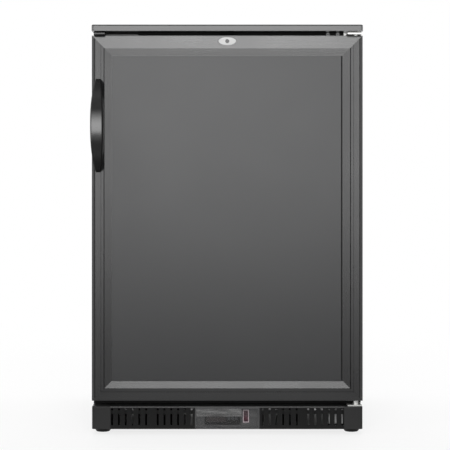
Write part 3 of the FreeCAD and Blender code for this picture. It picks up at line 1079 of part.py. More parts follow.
def make_machine_bay():
    """Compressor, condenser, fan, lines, drip tray, rear cover and the cord's gland."""
    bay_y = (BAY_FRONT + BACK) / 2
    pot_x = -HALF + S.pot_in
    plate_low = PLATE_TOP + S.mount_tall
    pot_low = plate_low + S.pot_plate_thick
    pot_top = pot_low + S.pot_tall
    pot = new_body("pot_body", "XY", (pot_low, pot_top), ("circle", pot_x, bay_y, S.pot_radius))
    soften(pot, S.pot_round, lambda edge: near(edge.BoundBox.ZMin, edge.BoundBox.ZMax)
           and abs(edge.BoundBox.XLength - 2 * S.pot_radius.value) < 1)
    add_pad(pot, "XY", (plate_low, pot_low + OVERCUT),
            ("outline", rectangle(about(pot_x, S.pot_plate_wide), about(bay_y, S.pot_plate_deep))))
    node(pot, "compressor")
    mounts = [rod(f"mount_{side + 1}_{end + 1}", (pot_x + side * (S.pot_plate_wide / 2 - S.mount_inset),
                                                  bay_y + end * (S.pot_plate_deep / 2 - S.mount_inset),
                                                  PLATE_TOP),
                  S.mount_radius, S.mount_tall) for side in (-1, 1) for end in (-1, 1)]
    node(group("mount_group", *mounts), "compressor_mounts")

    tray = box("tray_block", about(pot_x, S.tray_wide), about(bay_y, S.tray_deep),
               (pot_top, pot_top + S.tray_tall))
    tray_space = box("tray_space", about(pot_x, S.tray_wide - S.tray_wall * 2),
                     about(bay_y, S.tray_deep - S.tray_wall * 2),
                     (pot_top + S.tray_wall, pot_top + S.tray_tall + OVERCUT))
    node(cut("tray_cut", tray, tray_space), "drip_tray")

    cond_x = (HALF - S.condenser_in, HALF - S.condenser_in + S.condenser_thick)
    cond_y = about(bay_y, S.condenser_deep)
    cond_z = (PLATE_TOP, PLATE_TOP + S.condenser_tall)
    condenser = new_body("condenser_body", "XY", cond_z, ("outline", rectangle(cond_x, cond_y)))
    first = bay_y - S.warm_fin_pitch * (S.warm_fin_count - 1) / 2
    # the fin spaces are first cut low down, then repeated towards the back
    low = first - S.warm_fin_gap / 2
    fin_space = add_pocket(condenser, "XY", (PLATE_TOP - OVERCUT, cond_z[1] + OVERCUT),
                           ("outline", rectangle((cond_x[0] - OVERCUT, cond_x[1] - S.warm_fin_root),
                                                 (low, low + S.warm_fin_gap))))
    repeat(condenser, fin_space, "V_Axis", S.warm_fin_pitch, S.warm_fin_count)
    node(condenser, "condenser_coil")
    shroud_x = (cond_x[0] - S.shroud_thick, cond_x[0])
    fan_z = PLATE_TOP + S.warm_fan_rise
    shroud = box("shroud", shroud_x, cond_y, cond_z)
    mouth = rod("shroud_mouth", (shroud_x[0] - OVERCUT, bay_y, fan_z), S.warm_fan_hole,
                S.shroud_thick + OVERCUT * 2, "X")
    node(cut("shroud_cut", shroud, mouth), "condenser_shroud")
    motor_end = shroud_x[0] - S.warm_motor_gap
    motor_x = motor_end - S.warm_motor_long
    motor = rod("warm_motor", (motor_x, bay_y, fan_z), S.warm_motor_radius, S.warm_motor_long, "X")
    shaft = rod("warm_shaft", (motor_end - OVERCUT, bay_y, fan_z), S.motor_shaft,
                S.warm_motor_gap + S.shroud_thick / 2 + S.fan_depth / 2 + OVERCUT, "X")
    post = box("warm_post", about((motor_x + motor_end) / 2, S.warm_bracket_wide),
               about(bay_y, S.warm_bracket_thick), (PLATE_TOP, fan_z))
    node(fuse("warm_motor_fuse", motor, shaft, post), "condenser_fan_motor")
    make_fan("condenser_fan", (shroud_x[0] + S.shroud_thick / 2, bay_y, fan_z), "X", S.warm_hub,
             S.warm_fan_radius, S.fan_depth, S.motor_shaft + S.shaft_fit)

    gap = S.tube_gap
    side_z = pot_top - S.pot_round - S.tube_bend * 2
    over_z = cond_z[1] + S.tube_up
    pot_right = pot_x + S.pot_radius
    pot_left = pot_x - S.pot_radius
    rise_x = pot_right + S.tube_bend * 3
    cond_mid = (cond_x[0] + cond_x[1]) / 2
    left_x = pot_left - S.tube_bend * 2
    hot = make_tube("hot_line", [(pot_right + gap, bay_y, side_z), (rise_x, bay_y, side_z),
                                 (rise_x, bay_y, over_z),
                                 (cond_mid, bay_y, over_z), (cond_mid, bay_y, cond_z[1] + gap)],
                    S.tube_radius, S.tube_bend)
    cold = make_tube("cold_line", [(pot_left - gap, bay_y, side_z), (left_x, bay_y, side_z),
                                   (left_x, bay_y, S.bay_ceiling - S.outer_skin - gap)],
                     S.tube_radius, S.tube_bend)
    node(group("line_group", hot, cold), "refrigerant_lines")

    skin = S.outer_skin
    inside = S.cabinet_wide - S.plate_thick * 2 - S.fit * 2
    cover = new_body("rear_body", "XZ", (BACK - skin, BACK),
                     ("outline", rectangle(about(0, inside), (PLATE_TOP, S.bay_ceiling - skin - S.fit))))
    for side in (-1, 1):
        louvre_x = side * (HALF - S.louvre_in)
        slot = add_pocket(cover, "XZ", (BACK - skin, BACK),
                          ("slot", louvre_x, PLATE_TOP + S.louvre_low, S.louvre_wide, S.louvre_tall))
        repeat(cover, slot, "V_Axis", S.louvre_pitch, S.louvre_count)
    gland_x = -HALF + S.gland_in
    gland_z = BASE_LOW + S.gland_rise
    holes = [rod("gland_hole", (gland_x, BACK - skin - OVERCUT, gland_z), S.gland_radius + S.fit,
                 skin + OVERCUT * 2, "Y")]
    holes += [rod(f"rear_hole_{index}", (x, BACK - skin - OVERCUT, z), S.screw_radius + S.fit,
                  skin + OVERCUT * 2, "Y") for index, (x, z) in enumerate(cover_screws())]
    node(cut("rear_cut", cover, *holes), "rear_cover")
    barrel = rod("gland_barrel", (gland_x, BACK - S.gland_long, gland_z), S.gland_radius, S.gland_long, "Y")
    flange = rod("gland_flange", (gland_x, BACK, gland_z), S.gland_flange, S.gland_flange_thick, "Y")
    bore = rod("gland_bore", (gland_x, BACK - S.gland_long - OVERCUT, gland_z), S.gland_bore,
               S.gland_long + S.gland_flange_thick + OVERCUT * 2, "Y")
    node(cut("gland_cut", fuse("gland_fuse", barrel, flange), bore), "cable_gland")


def write_parts():
    """Check every object and sub-part, then write one STEP file per node."""
    doc.recompute()
    for thing in doc.Objects:
        if "Invalid" in thing.State or "Error" in thing.State:
            raise RuntimeError(f"{thing.Name} failed: {thing.State}")
    for thing in NODES:
        if thing.Shape.isNull() or not thing.Shape.isValid() or not thing.Shape.Solids:
            raise RuntimeError(f"{thing.Label} has no valid shape")
    os.makedirs("parts", exist_ok=True)
    for thing in NODES:
        thing.Shape.exportStep(f"parts/{thing.Label}.step")
    print(len(NODES), "nodes written")


make_cabinet()
make_base()
make_controls()
make_hinges()
make_door()
make_shelves()
make_cold_side()
make_machine_bay()
write_parts()
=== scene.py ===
"""Looks of an undercounter back-bar refrigerator: its finishes, fine detail, studio and camera.

Lengths are in metres, in the frame of the solids: +Z up, +X to the hinge side and +Y to the back.
"""

import logging
import math
from dataclasses import dataclass
from enum import Enum
from typing import Any, ClassVar, Iterable, Mapping, Optional, Sequence, Union

import bmesh
import bpy
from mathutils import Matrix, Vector


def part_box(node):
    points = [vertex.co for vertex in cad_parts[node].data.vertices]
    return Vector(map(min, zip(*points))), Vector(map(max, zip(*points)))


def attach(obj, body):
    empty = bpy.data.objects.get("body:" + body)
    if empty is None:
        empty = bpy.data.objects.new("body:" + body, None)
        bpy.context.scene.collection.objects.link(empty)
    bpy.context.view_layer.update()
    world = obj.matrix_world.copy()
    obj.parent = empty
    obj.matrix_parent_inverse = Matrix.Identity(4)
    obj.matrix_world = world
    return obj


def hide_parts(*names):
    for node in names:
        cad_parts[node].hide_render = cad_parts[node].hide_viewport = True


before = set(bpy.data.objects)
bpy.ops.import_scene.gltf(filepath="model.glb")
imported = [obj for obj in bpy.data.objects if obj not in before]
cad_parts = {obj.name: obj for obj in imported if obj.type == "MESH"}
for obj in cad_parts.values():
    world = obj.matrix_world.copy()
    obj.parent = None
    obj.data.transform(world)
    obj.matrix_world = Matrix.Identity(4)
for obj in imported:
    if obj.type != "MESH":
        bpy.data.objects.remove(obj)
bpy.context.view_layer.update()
LOG = logging.getLogger("refrigerator")

SHARP_ANGLE = math.radians(35)
ROUNDING_SEGMENTS = 3
WIRE_SIDES = 8
TUBE_RESOLUTION = 4

Colour = tuple[float, float, float]
Point = tuple[float, float, float]
Pair = tuple[float, float]


class Axis(Enum):
    """A direction: of brushing, rolling or drawing, or of an edge."""

    X = 0
    Y = 1
    Z = 2

    def stretch(self, ratio: float) -> Point:
        """Finds the texture scale that draws marks out along this direction.

        Args:
            ratio: how many times longer than wide a mark is.

        Returns:
            The scale along each axis.
        """
        scale = [1.0, 1.0, 1.0]
        scale[self.value] = 1 / ratio
        return tuple(scale)

    def point(self, along: float, first: float, second: float) -> Point:
        """Sets a point out from this axis.

        Args:
            along: its place along this axis.
            first: its place along the first of the others.
            second: its place along the second of the others.

        Returns:
            The point.
        """
        places = [first, second]
        places.insert(self.value, along)
        return tuple(places)


class Signal:
    """An output socket that takes part in arithmetic; each operator adds a Math node."""

    def __init__(self, sheet: "NodeSheet", socket: bpy.types.NodeSocket) -> None:
        """Keeps the sheet and the socket."""
        self.sheet = sheet
        self.socket = socket

    def _math(self, operation: str, first: "Value", second: "Value") -> "Signal":
        """Returns the result of a Math node on two values."""
        return self.sheet.node("ShaderNodeMath", {"operation": operation}, {0: first, 1: second})

    def __add__(self, other: "Value") -> "Signal":
        """Returns self + other."""
        return self._math("ADD", self, other)

    def __radd__(self, other: "Value") -> "Signal":
        """Returns other + self."""
        return self._math("ADD", other, self)

    def __sub__(self, other: "Value") -> "Signal":
        """Returns self - other."""
        return self._math("SUBTRACT", self, other)

    def __rsub__(self, other: "Value") -> "Signal":
        """Returns other - self."""
        return self._math("SUBTRACT", other, self)

    def __mul__(self, other: "Value") -> "Signal":
        """Returns self * other."""
        return self._math("MULTIPLY", self, other)

    def __rmul__(self, other: "Value") -> "Signal":
        """Returns other * self."""
        return self._math("MULTIPLY", other, self)

    def at_least(self, other: "Value") -> "Signal":
        """Returns the larger of self and other."""
        return self._math("MAXIMUM", self, other)

    def swing(self, gain: float) -> "Signal":
        """Returns a value about 0 for a mask about 0.5, with its ups and downs times a gain."""
        return (self - 0.5) * gain

    def between(self, low: float, high: float) -> "Signal":
        """Returns a smooth mask that is 0 below low and 1 above high.

        Args:
            low: the value at which the mask starts to rise.
            high: the value at which it is full.

        Returns:
            The mask, from 0 to 1.
        """
        settings = {"interpolation_type": "SMOOTHSTEP"}
        return self.sheet.node("ShaderNodeMapRange", settings,
                               {"Value": self, "From Min": low, "From Max": high})


Value = Union[Signal, float, int]
Given = Union[Signal, float, int, Sequence[float]]


class NodeSheet:
    """The node tree of one material or of the world."""

    def __init__(self, tree: bpy.types.NodeTree) -> None:
        """Empties the tree."""
        self.tree = tree
        tree.nodes.clear()

    def node(self, kind: str, settings: Optional[Mapping[str, Any]] = None,
             sockets: Optional[Mapping[Union[str, int], Given]] = None,
             output: Union[str, int] = 0) -> Signal:
        """Adds one node of any type.

        Args:
            kind: Blender's name for the node's type.
            settings: the node's own settings, set before its sockets.
            sockets: a value or a signal for each input, by name or by place.
            output: the output to return, by name or by place.

        Returns:
            The chosen output.
        """
        made = self.tree.nodes.new(kind)
        for name, setting in (settings or {}).items():
            setattr(made, name, setting)
        for name, given in (sockets or {}).items():
            if isinstance(given, Signal):
                self.tree.links.new(given.socket, made.inputs[name])
            else:
                made.inputs[name].default_value = given
        return Signal(self, made.outputs[output]) if len(made.outputs) else Signal(self, None)

    def place(self) -> Signal:
        """Returns the point on the piece, in metres."""
        return self.node("ShaderNodeTexCoord", output="Object")

    def along(self, axis: Axis) -> Signal:
        """Returns the place along one axis, in metres."""
        return self.node("ShaderNodeSeparateXYZ", {}, {0: self.place()}, axis.value)

    def scaled(self, stretch: Point) -> Signal:
        """Returns the point on the piece with each axis scaled."""
        return self.node("ShaderNodeMapping", {}, {"Vector": self.place(), "Scale": stretch})

    def noise(self, size: float, detail: float = 2.0, stretch: Point = (1.0, 1.0, 1.0)) -> Signal:
        """Returns soft noise of about 0.5 on average, with blots of a size in metres."""
        return self.node("ShaderNodeTexNoise", {"noise_dimensions": "3D"},
                         {"Vector": self.scaled(stretch), "Scale": 1 / size, "Detail": detail})

    def cells(self, size: float, feature: str = "F1") -> Signal:
        """Returns the distance inside Voronoi cells of a size, in metres."""
        return self.node("ShaderNodeTexVoronoi", {"feature": feature},
                         {"Vector": self.place(), "Scale": 1 / size}, "Distance")

    def mix(self, factor: Value, first: Given, second: Given) -> Signal:
        """Returns a colour between two, the first where the factor is 0 and the second where it is 1."""
        first, second = (given if isinstance(given, Signal) else (*given, 1) for given in (first, second))
        return self.node("ShaderNodeMix", {"data_type": "RGBA"}, {0: factor, 6: first, 7: second}, 2)

    def bump(self, height: Signal, depth: float) -> Signal:
        """Returns a normal raised by a height of 0 to 1 over a depth in metres."""
        return self.node("ShaderNodeBump", {}, {"Height": height, "Distance": depth, "Strength": 1.0})

    def close(self, kind: str, sockets: Mapping[str, Given]) -> None:
        """Ends a material with one shader, of a node type and with the sockets given by name."""
        shader = self.node(kind, {}, sockets)
        self.node("ShaderNodeOutputMaterial", {}, {"Surface": shader})


def shade(colour: Colour, gain: float) -> Colour:
    """Returns a colour with each channel times a gain."""
    return tuple(channel * gain for channel in colour)


def middle(box: tuple[Vector, Vector]) -> Vector:
    """Returns the centre of a box."""
    return (box[0] + box[1]) / 2


@dataclass(frozen=True)
class Finish:
    """What all finishes share: a name, a colour, a roughness and two tones of the colour."""

    TONES: ClassVar[Pair] = (1.0, 1.0)

    name: str
    colour: Colour
    roughness: float

    def surface(self, sheet: NodeSheet) -> dict[str, Given]:
        """Returns the sockets of the Principled shader, by name."""
        raise NotImplementedError

    def toned(self, sheet: NodeSheet, mask: Value) -> Signal:
        """Returns the colour, in its first tone where a mask is 0 and in its second where it is 1."""
        return sheet.mix(mask, *(shade(self.colour, gain) for gain in self.TONES))

    def material(self) -> bpy.types.Material:
        """Makes this finish's material once, under a name that no slot has.

        Returns:
            The material.
        """
        name = f"finish_{self.name}"
        made = bpy.data.materials.get(name)
        if made is None:
            made = bpy.data.materials.new(name)
            made.use_nodes = True
            sheet = NodeSheet(made.node_tree)
            sheet.close("ShaderNodeBsdfPrincipled", self.surface(sheet))
        return made

    def cover(self, nodes: Iterable[str]) -> None:
        """Puts this finish on solids of the frame.

        Args:
            nodes: the names of their nodes.
        """
        for node in nodes:
            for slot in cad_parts[node].material_slots:
                slot.material = self.material()
            LOG.info("%s: %s", node, self.name)


@dataclass(frozen=True)
class PowderCoat(Finish):
    """Sprayed and baked paint on sheet metal, with a fine orange peel."""

    TONES: ClassVar[Pair] = (0.9, 1.1)

    peel: float = 0.0018
    peel_deep: float = 0.000035
    specular: float = 0.5
    cloud: float = 0.16
    cloud_gloss: float = 0.08

    def surface(self, sheet: NodeSheet) -> dict[str, Given]:
        """Makes paint with peel, soft cloudiness and uneven gloss.

        Args:
            sheet: the material's node tree.

        Returns:
            The shader's sockets.
        """
        cloud = sheet.noise(self.cloud, 3)
        return {"Base Color": self.toned(sheet, cloud),
                "Roughness": self.roughness + cloud.swing(self.cloud_gloss),
                "Specular IOR Level": self.specular,
                "Normal": sheet.bump(sheet.noise(self.peel, 1), self.peel_deep)}


@dataclass(frozen=True)
class EdgedCoat(PowderCoat):
    """Paint with a matt top, and a dark line along the rounded edge under it that is painted shade."""

    matt_above: float = 0.0
    matt_fade: float = 0.0003
    matt_roughness: float = 0.4
    shade_line_below: float = 0.0012
    shade_line_above: float = 0.0009
    shade_line_tone: float = 0.2

    def surface(self, sheet: NodeSheet) -> dict[str, Given]:
        """Makes the paint with its matt top and the painted shade line along its edge.

        Args:
            sheet: the material's node tree.

        Returns:
            The shader's sockets.
        """
        height = sheet.along(Axis.Z)
        matt = height.between(self.matt_above, self.matt_above + self.matt_fade)
        # The darker, metallic band just under the matt top is painted shade on the rounded edge.
        low, high = self.matt_above - self.shade_line_below, self.matt_above + self.shade_line_above
        line = (height.between(low, low + self.matt_fade)
                * (1 - height.between(high, high + self.matt_fade / 3)))
        given = super().surface(sheet)
        given["Base Color"] = sheet.mix(line, given["Base Color"], shade(self.colour, self.shade_line_tone))
        given["Roughness"] = given["Roughness"] + matt * self.matt_roughness
        given["Metallic"] = line
        return given


@dataclass(frozen=True)
class BrushedMetal(Finish):
    """Bare or plated metal with marks drawn out one way."""

    TONES: ClassVar[Pair] = (0.86, 1.12)

    axis: Axis = Axis.X
    mark: float = 0.0011
    ratio: float = 60.0
    mark_deep: float = 0.00002
    broad_times: float = 14.0
    broad_ratio_share: float = 0.25
    broad_share: float = 0.4
    tone_span: Pair = (0.3, 0.7)
    tone_gloss: float = 0.1

    def surface(self, sheet: NodeSheet) -> dict[str, Given]:
        """Makes metal whose brush marks vary its colour, gloss and surface.

        Args:
            sheet: the material's node tree.

        Returns:
            The shader's sockets.
        """
        marks = sheet.noise(self.mark, 3, self.axis.stretch(self.ratio))
        broad_stretch = self.axis.stretch(self.ratio * self.broad_ratio_share)
        broad = sheet.noise(self.mark * self.broad_times, 2, broad_stretch)
        tone = (marks * (1 - self.broad_share) + broad * self.broad_share).between(*self.tone_span)
        return {"Base Color": self.toned(sheet, tone),
                "Metallic": 1.0,
                "Roughness": self.roughness + tone.swing(self.tone_gloss),
                "Normal": sheet.bump(marks, self.mark_deep)}


@dataclass(frozen=True)
class PartPlated(Finish):
    """Zinc-plated sheet that is dark on the lower side of a place; on the low hinge's leg the dark tone is painted
    shade.
    """

    TONES: ClassVar[Pair] = (0.85, 1.15)

    axis: Axis = Axis.X
    start: float = 0.0
    # The dark tone below the place; on the low hinge it is painted shade.
    paint: float = 0.006
    dark_side_roughness: float = 0.7
    fade: float = 0.0008
    mark: float = 0.0012
    ratio: float = 12.0
    mark_deep: float = 0.00002
    specular: float = 0.2

    def surface(self, sheet: NodeSheet) -> dict[str, Given]:
        """Makes drawn zinc above the place and a dark tone below it.

        Args:
            sheet: the material's node tree.

        Returns:
            The shader's sockets.
        """
        marks = sheet.noise(self.mark, 3, Axis.X.stretch(self.ratio))
        plated = sheet.along(self.axis).between(self.start, self.start + self.fade)
        return {"Base Color": sheet.mix(plated, (self.paint,) * 3, self.toned(sheet, marks)),
                "Metallic": plated,
                "Roughness": self.dark_side_roughness + plated * (self.roughness - self.dark_side_roughness),
                "Specular IOR Level": self.specular,
                "Normal": sheet.bump(marks, self.mark_deep)}


@dataclass(frozen=True)
class SatinProfile(Finish):
    """A drawn or extruded profile in a dark satin skin, with faint lines along its length."""

    TONES: ClassVar[Pair] = (0.88, 1.12)

    axis: Axis = Axis.Z
    line: float = 0.0009
    line_deep: float = 0.000012
    ratio: float = 200.0
    line_gloss: float = 0.05
    cloud: float = 0.09
    cloud_gloss: float = 0.06
    specular: float = 0.5

    def surface(self, sheet: NodeSheet) -> dict[str, Given]:
        """Makes the dark skin with drawing lines and a soft cloudiness.

        Args:
            sheet: the material's node tree.

        Returns:
            The shader's sockets.
        """
        lines = sheet.noise(self.line, 2, self.axis.stretch(self.ratio))
        cloud = sheet.noise(self.cloud, 2)
        return {"Base Color": self.toned(sheet, lines),
                "Roughness": self.roughness + cloud.swing(self.cloud_gloss) + lines.swing(self.line_gloss),
                "Specular IOR Level": self.specular,
                "Normal": sheet.bump(lines, self.line_deep)}


@dataclass(frozen=True)
class RubbedProfile(SatinProfile):
    """The same skin on an upright, duller along its outer edge."""

    edge_start: float = 0.0
    edge_fade: float = 0.0006
    edge_roughness: float = 0.25

    def surface(self, sheet: NodeSheet) -> dict[str, Given]:
        """Makes the skin with its duller edge on both sides of the door.

        Args:
            sheet: the material's node tree.

        Returns:
            The shader's sockets.
        """
        across = sheet.along(Axis.X)
        edge = across.at_least(0 - across).between(self.edge_start, self.edge_start + self.edge_fade)
        given = super().surface(sheet)
        given["Roughness"] = given["Roughness"] + edge * self.edge_roughness
        return given


@dataclass(frozen=True)
class Moulded(Finish):
    """Moulded plastic with the fine grain of its mould."""

    TONES: ClassVar[Pair] = (0.92, 1.08)

    grain: float = 0.0007
    grain_deep: float = 0.00003
    specular: float = 0.4
    grain_gloss: float = 0.06
    flow: float = 0.05
    flow_gloss: float = 0.1

    def surface(self, sheet: NodeSheet) -> dict[str, Given]:
        """Makes plastic with grain, and flow marks in its gloss.

        Args:
            sheet: the material's node tree.

        Returns:
            The shader's sockets.
        """
        grain = sheet.noise(self.grain, 2)
        flow = sheet.noise(self.flow, 2)
        return {"Base Color": self.toned(sheet, flow),
                "Roughness": self.roughness + flow.swing(self.flow_gloss) + grain.swing(self.grain_gloss),
                "Specular IOR Level": self.specular,
                "Normal": sheet.bump(grain, self.grain_deep)}


@dataclass(frozen=True)
class Polished(Finish):
    """Glossy plastic or lacquer with very slight waves and faint handling smears."""

    TONES: ClassVar[Pair] = (0.92, 1.08)

    wave_deep: float = 0.00004
    coat: float = 0.5
    coat_roughness: float = 0.05
    wave: float = 0.02
    smear: float = 0.012
    smear_span: Pair = (0.5, 0.75)
    smear_gloss: float = 0.06

    def surface(self, sheet: NodeSheet) -> dict[str, Given]:
        """Makes a glossy skin under a clear coat, with slow waves and faint smears.

        Args:
            sheet: the material's node tree.

        Returns:
            The shader's sockets.
        """
        smear = sheet.noise(self.smear, 3)
        return {"Base Color": self.toned(sheet, smear),
                "Roughness": self.roughness + smear.between(*self.smear_span) * self.smear_gloss,
                "Coat Weight": self.coat,
                "Coat Roughness": self.coat_roughness,
                "Normal": sheet.bump(sheet.noise(self.wave, 1), self.wave_deep)}


@dataclass(frozen=True)
class WornLacquer(Polished):
    """Black lacquer on a grip: polished by hands at its middle, dull at its ends and inner side."""

    grip: float = 0.0
    half: float = 0.042
    core: float = 0.1
    side: float = 0.0
    side_fade: float = 0.0012
    specular: float = 0.12
    coat_ior: float = 1.66

    def surface(self, sheet: NodeSheet) -> dict[str, Given]:
        """Makes a dull skin whose clear coat fades out away from the grip.

        Args:
            sheet: the material's node tree.

        Returns:
            The shader's sockets.
        """
        height = sheet.along(Axis.Z)
        above = 1 - height.between(self.grip + self.half * self.core, self.grip + self.half)
        below = height.between(self.grip - self.half, self.grip - self.half * self.core)
        outer = 1 - sheet.along(Axis.X).between(self.side - self.side_fade, self.side)
        return super().surface(sheet) | {"Coat Weight": above * below * outer * self.coat,
                                         "Coat IOR": self.coat_ior,
                                         "Specular IOR Level": self.specular}


@dataclass(frozen=True)
class Galvanised(Finish):
    """Zinc-dipped sheet, with the flower pattern of the zinc."""

    TONES: ClassVar[Pair] = (0.8, 1.12)

    flower: float = 0.012
    metal: float = 0.9
    fine: float = 0.003
    fine_share: float = 0.25
    flower_span: Pair = (0.2, 0.8)
    flower_gloss: float = 0.14
    fine_deep: float = 0.00002

    def surface(self, sheet: NodeSheet) -> dict[str, Given]:
        """Makes zinc whose crystals differ in tone and gloss.

        Args:
            sheet: the material's node tree.

        Returns:
            The shader's sockets.
        """
        flowers = sheet.node("ShaderNodeTexVoronoi", {}, {"Vector": sheet.place(), "Scale": 1 / self.flower},
                             "Color")
        tone = sheet.node("ShaderNodeRGBToBW", {}, {0: flowers})
        fine = sheet.noise(self.fine, 3)
        mask = (tone * (1 - self.fine_share) + fine * self.fine_share).between(*self.flower_span)
        return {"Base Color": self.toned(sheet, mask),
                "Metallic": self.metal,
                "Roughness": self.roughness + mask.swing(self.flower_gloss),
                "Normal": sheet.bump(fine, self.fine_deep)}


@dataclass(frozen=True)
class Embossed(Finish):
    """Aluminium sheet rolled with a pebbled pattern."""

    TONES: ClassVar[Pair] = (0.82, 1.0)

    pebble: float = 0.0045
    pebble_span: Pair = (0.1, 0.75)
    pebble_deep: float = 0.0004
    hollow_gloss: float = 0.12

    def surface(self, sheet: NodeSheet) -> dict[str, Given]:
        """Makes metal with round raised pebbles and dull hollows.

        Args:
            sheet: the material's node tree.

        Returns:
            The shader's sockets.
        """
        raised = 1 - sheet.cells(self.pebble, "SMOOTH_F1").between(*self.pebble_span)
        return {"Base Color": self.toned(sheet, raised),
                "Metallic": 1.0,
                "Roughness": self.roughness + (1 - raised) * self.hollow_gloss,
                "Normal": sheet.bump(raised, self.pebble_deep)}


@dataclass(frozen=True)
class RigidFoam(Finish):
    """Cut polyurethane foam with fine open cells."""

    TONES: ClassVar[Pair] = (1.0, 0.75)

    cell: float = 0.0016
    cell_deep: float = 0.0006
    patch: float = 0.05
    patch_span: Pair = (0.4, 0.7)

    def surface(self, sheet: NodeSheet) -> dict[str, Given]:
        """Makes foam with pores and darker patches of skin.

        Args:
            sheet: the material's node tree.

        Returns:
            The shader's sockets.
        """
        return {"Base Color": self.toned(sheet, sheet.noise(self.patch, 4).between(*self.patch_span)),
                "Roughness": self.roughness,
                "Normal": sheet.bump(sheet.cells(self.cell), self.cell_deep)}


@dataclass(frozen=True)
class SoftRubber(Finish):
    """Black or grey elastomer with a dry bloom."""

    TONES: ClassVar[Pair] = (1.0, 1.5)

    tooth: float = 0.0008
    tooth_deep: float = 0.00004
    tooth_gloss: float = 0.08
    bloom: float = 0.03
    bloom_span: Pair = (0.45, 0.75)
    specular: float = 0.3

    def surface(self, sheet: NodeSheet) -> dict[str, Given]:
        """Makes rubber with fine tooth and a pale bloom in patches.

        Args:
            sheet: the material's node tree.

        Returns:
            The shader's sockets.
        """
        tooth = sheet.noise(self.tooth, 2)
        return {"Base Color": self.toned(sheet, sheet.noise(self.bloom, 4).between(*self.bloom_span)),
                "Roughness": self.roughness + tooth.swing(self.tooth_gloss),
                "Specular IOR Level": self.specular,
                "Normal": sheet.bump(tooth, self.tooth_deep)}


@dataclass(frozen=True)
class DrawnCopper(Finish):
    """Copper tube, bright with darker tarnish in patches."""

    TONES: ClassVar[Pair] = (1.0, 0.5)

    patch: float = 0.02
    patch_span: Pair = (0.45, 0.7)
    patch_gloss: float = 0.2
    mark: float = 0.0012
    mark_deep: float = 0.00002

    def surface(self, sheet: NodeSheet) -> dict[str, Given]:
        """Makes copper with patches of brown tarnish.

        Args:
            sheet: the material's node tree.

        Returns:
            The shader's sockets.
        """
        tarnish = sheet.noise(self.patch, 4).between(*self.patch_span)
        return {"Base Color": self.toned(sheet, tarnish),
                "Metallic": 1.0,
                "Roughness": self.roughness + tarnish * self.patch_gloss,
                "Normal": sheet.bump(sheet.noise(self.mark, 2), self.mark_deep)}


@dataclass(frozen=True)
class SmokedClear(Finish):
    """Clear moulded plastic with a grey tint, and a pale streaked band of painted reflection above a height."""

    TONES: ClassVar[Pair] = (1.0, 1.6)
    REFLECTION_TONES: ClassVar[Pair] = (0.45, 1.35)

    opacity: float = 0.065
    scuff: float = 0.012
    scuff_ratio: float = 4.0
    scuff_span: Pair = (0.55, 0.8)
    scuff_opacity: float = 0.06
    gloss_lost: float = 0.15
    reflection_low: float = 0.0
    reflection_fade: float = 0.002
    reflection_opacity: float = 0.42
    reflection_colour: Colour = (0.23, 0.23, 0.23)
    streak: float = 0.0045
    streak_ratio: float = 9.0
    streak_span: Pair = (0.35, 0.68)
    bare_start: float = 0.0
    bare_fade: float = 0.003
    bare_share: float = 0.7
    coat: float = 0.3
    coat_roughness: float = 0.04

    def surface(self, sheet: NodeSheet) -> dict[str, Given]:
        """Makes a see-through skin with a pale, streaked upper band that is painted reflection.

        Args:
            sheet: the material's node tree.

        Returns:
            The shader's sockets.
        """
        scuff = sheet.noise(self.scuff, 2, Axis.X.stretch(self.scuff_ratio)).between(*self.scuff_span)
        bare = sheet.along(Axis.X).between(self.bare_start, self.bare_start + self.bare_fade)
        # The pale, more opaque streaked band above the height is a painted reflection.
        reflecting = sheet.along(Axis.Z).between(self.reflection_low, self.reflection_low + self.reflection_fade)
        reflection = reflecting * (1 - bare * self.bare_share)
        streaks = sheet.noise(self.streak, 2, Axis.X.stretch(self.streak_ratio)).between(*self.streak_span)
        pale = sheet.mix(streaks, *(shade(self.reflection_colour, gain) for gain in self.REFLECTION_TONES))
        return {"Base Color": sheet.mix(reflection, self.toned(sheet, scuff), pale),
                "Roughness": self.roughness + scuff * self.gloss_lost + reflection * self.gloss_lost,
                "Alpha": (self.opacity + scuff * self.scuff_opacity
                          + reflection * (self.reflection_opacity - self.opacity)),
                "Coat Weight": self.coat,
                "Coat Roughness": self.coat_roughness}


# Places at which finishes change, each set off from a corner of a solid.
WORKTOP_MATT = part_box("worktop")[1].z - 0.0012
UPRIGHT_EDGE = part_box("door_rail_hinge_side")[1].x - 0.0073
GRIP_HEIGHT = middle(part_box("handle")).z - 0.005
GRIP_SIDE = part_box("handle")[1].x - 0.00235
TOP_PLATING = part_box("hinge_top")[1].x - 0.0373
LOW_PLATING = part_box("base_frame")[1].z - 0.002
# Where the flap's painted reflection starts, and where it thins out.
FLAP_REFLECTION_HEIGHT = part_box("control_cover")[1].z - 0.0181
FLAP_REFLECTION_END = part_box("control_cover")[1].x - 0.0404

WORKTOP_PAINT = EdgedCoat("worktop_paint", (0.03, 0.03, 0.031), 0.22, 0.0022, 0.00001, 0.68,
                          matt_above=WORKTOP_MATT)
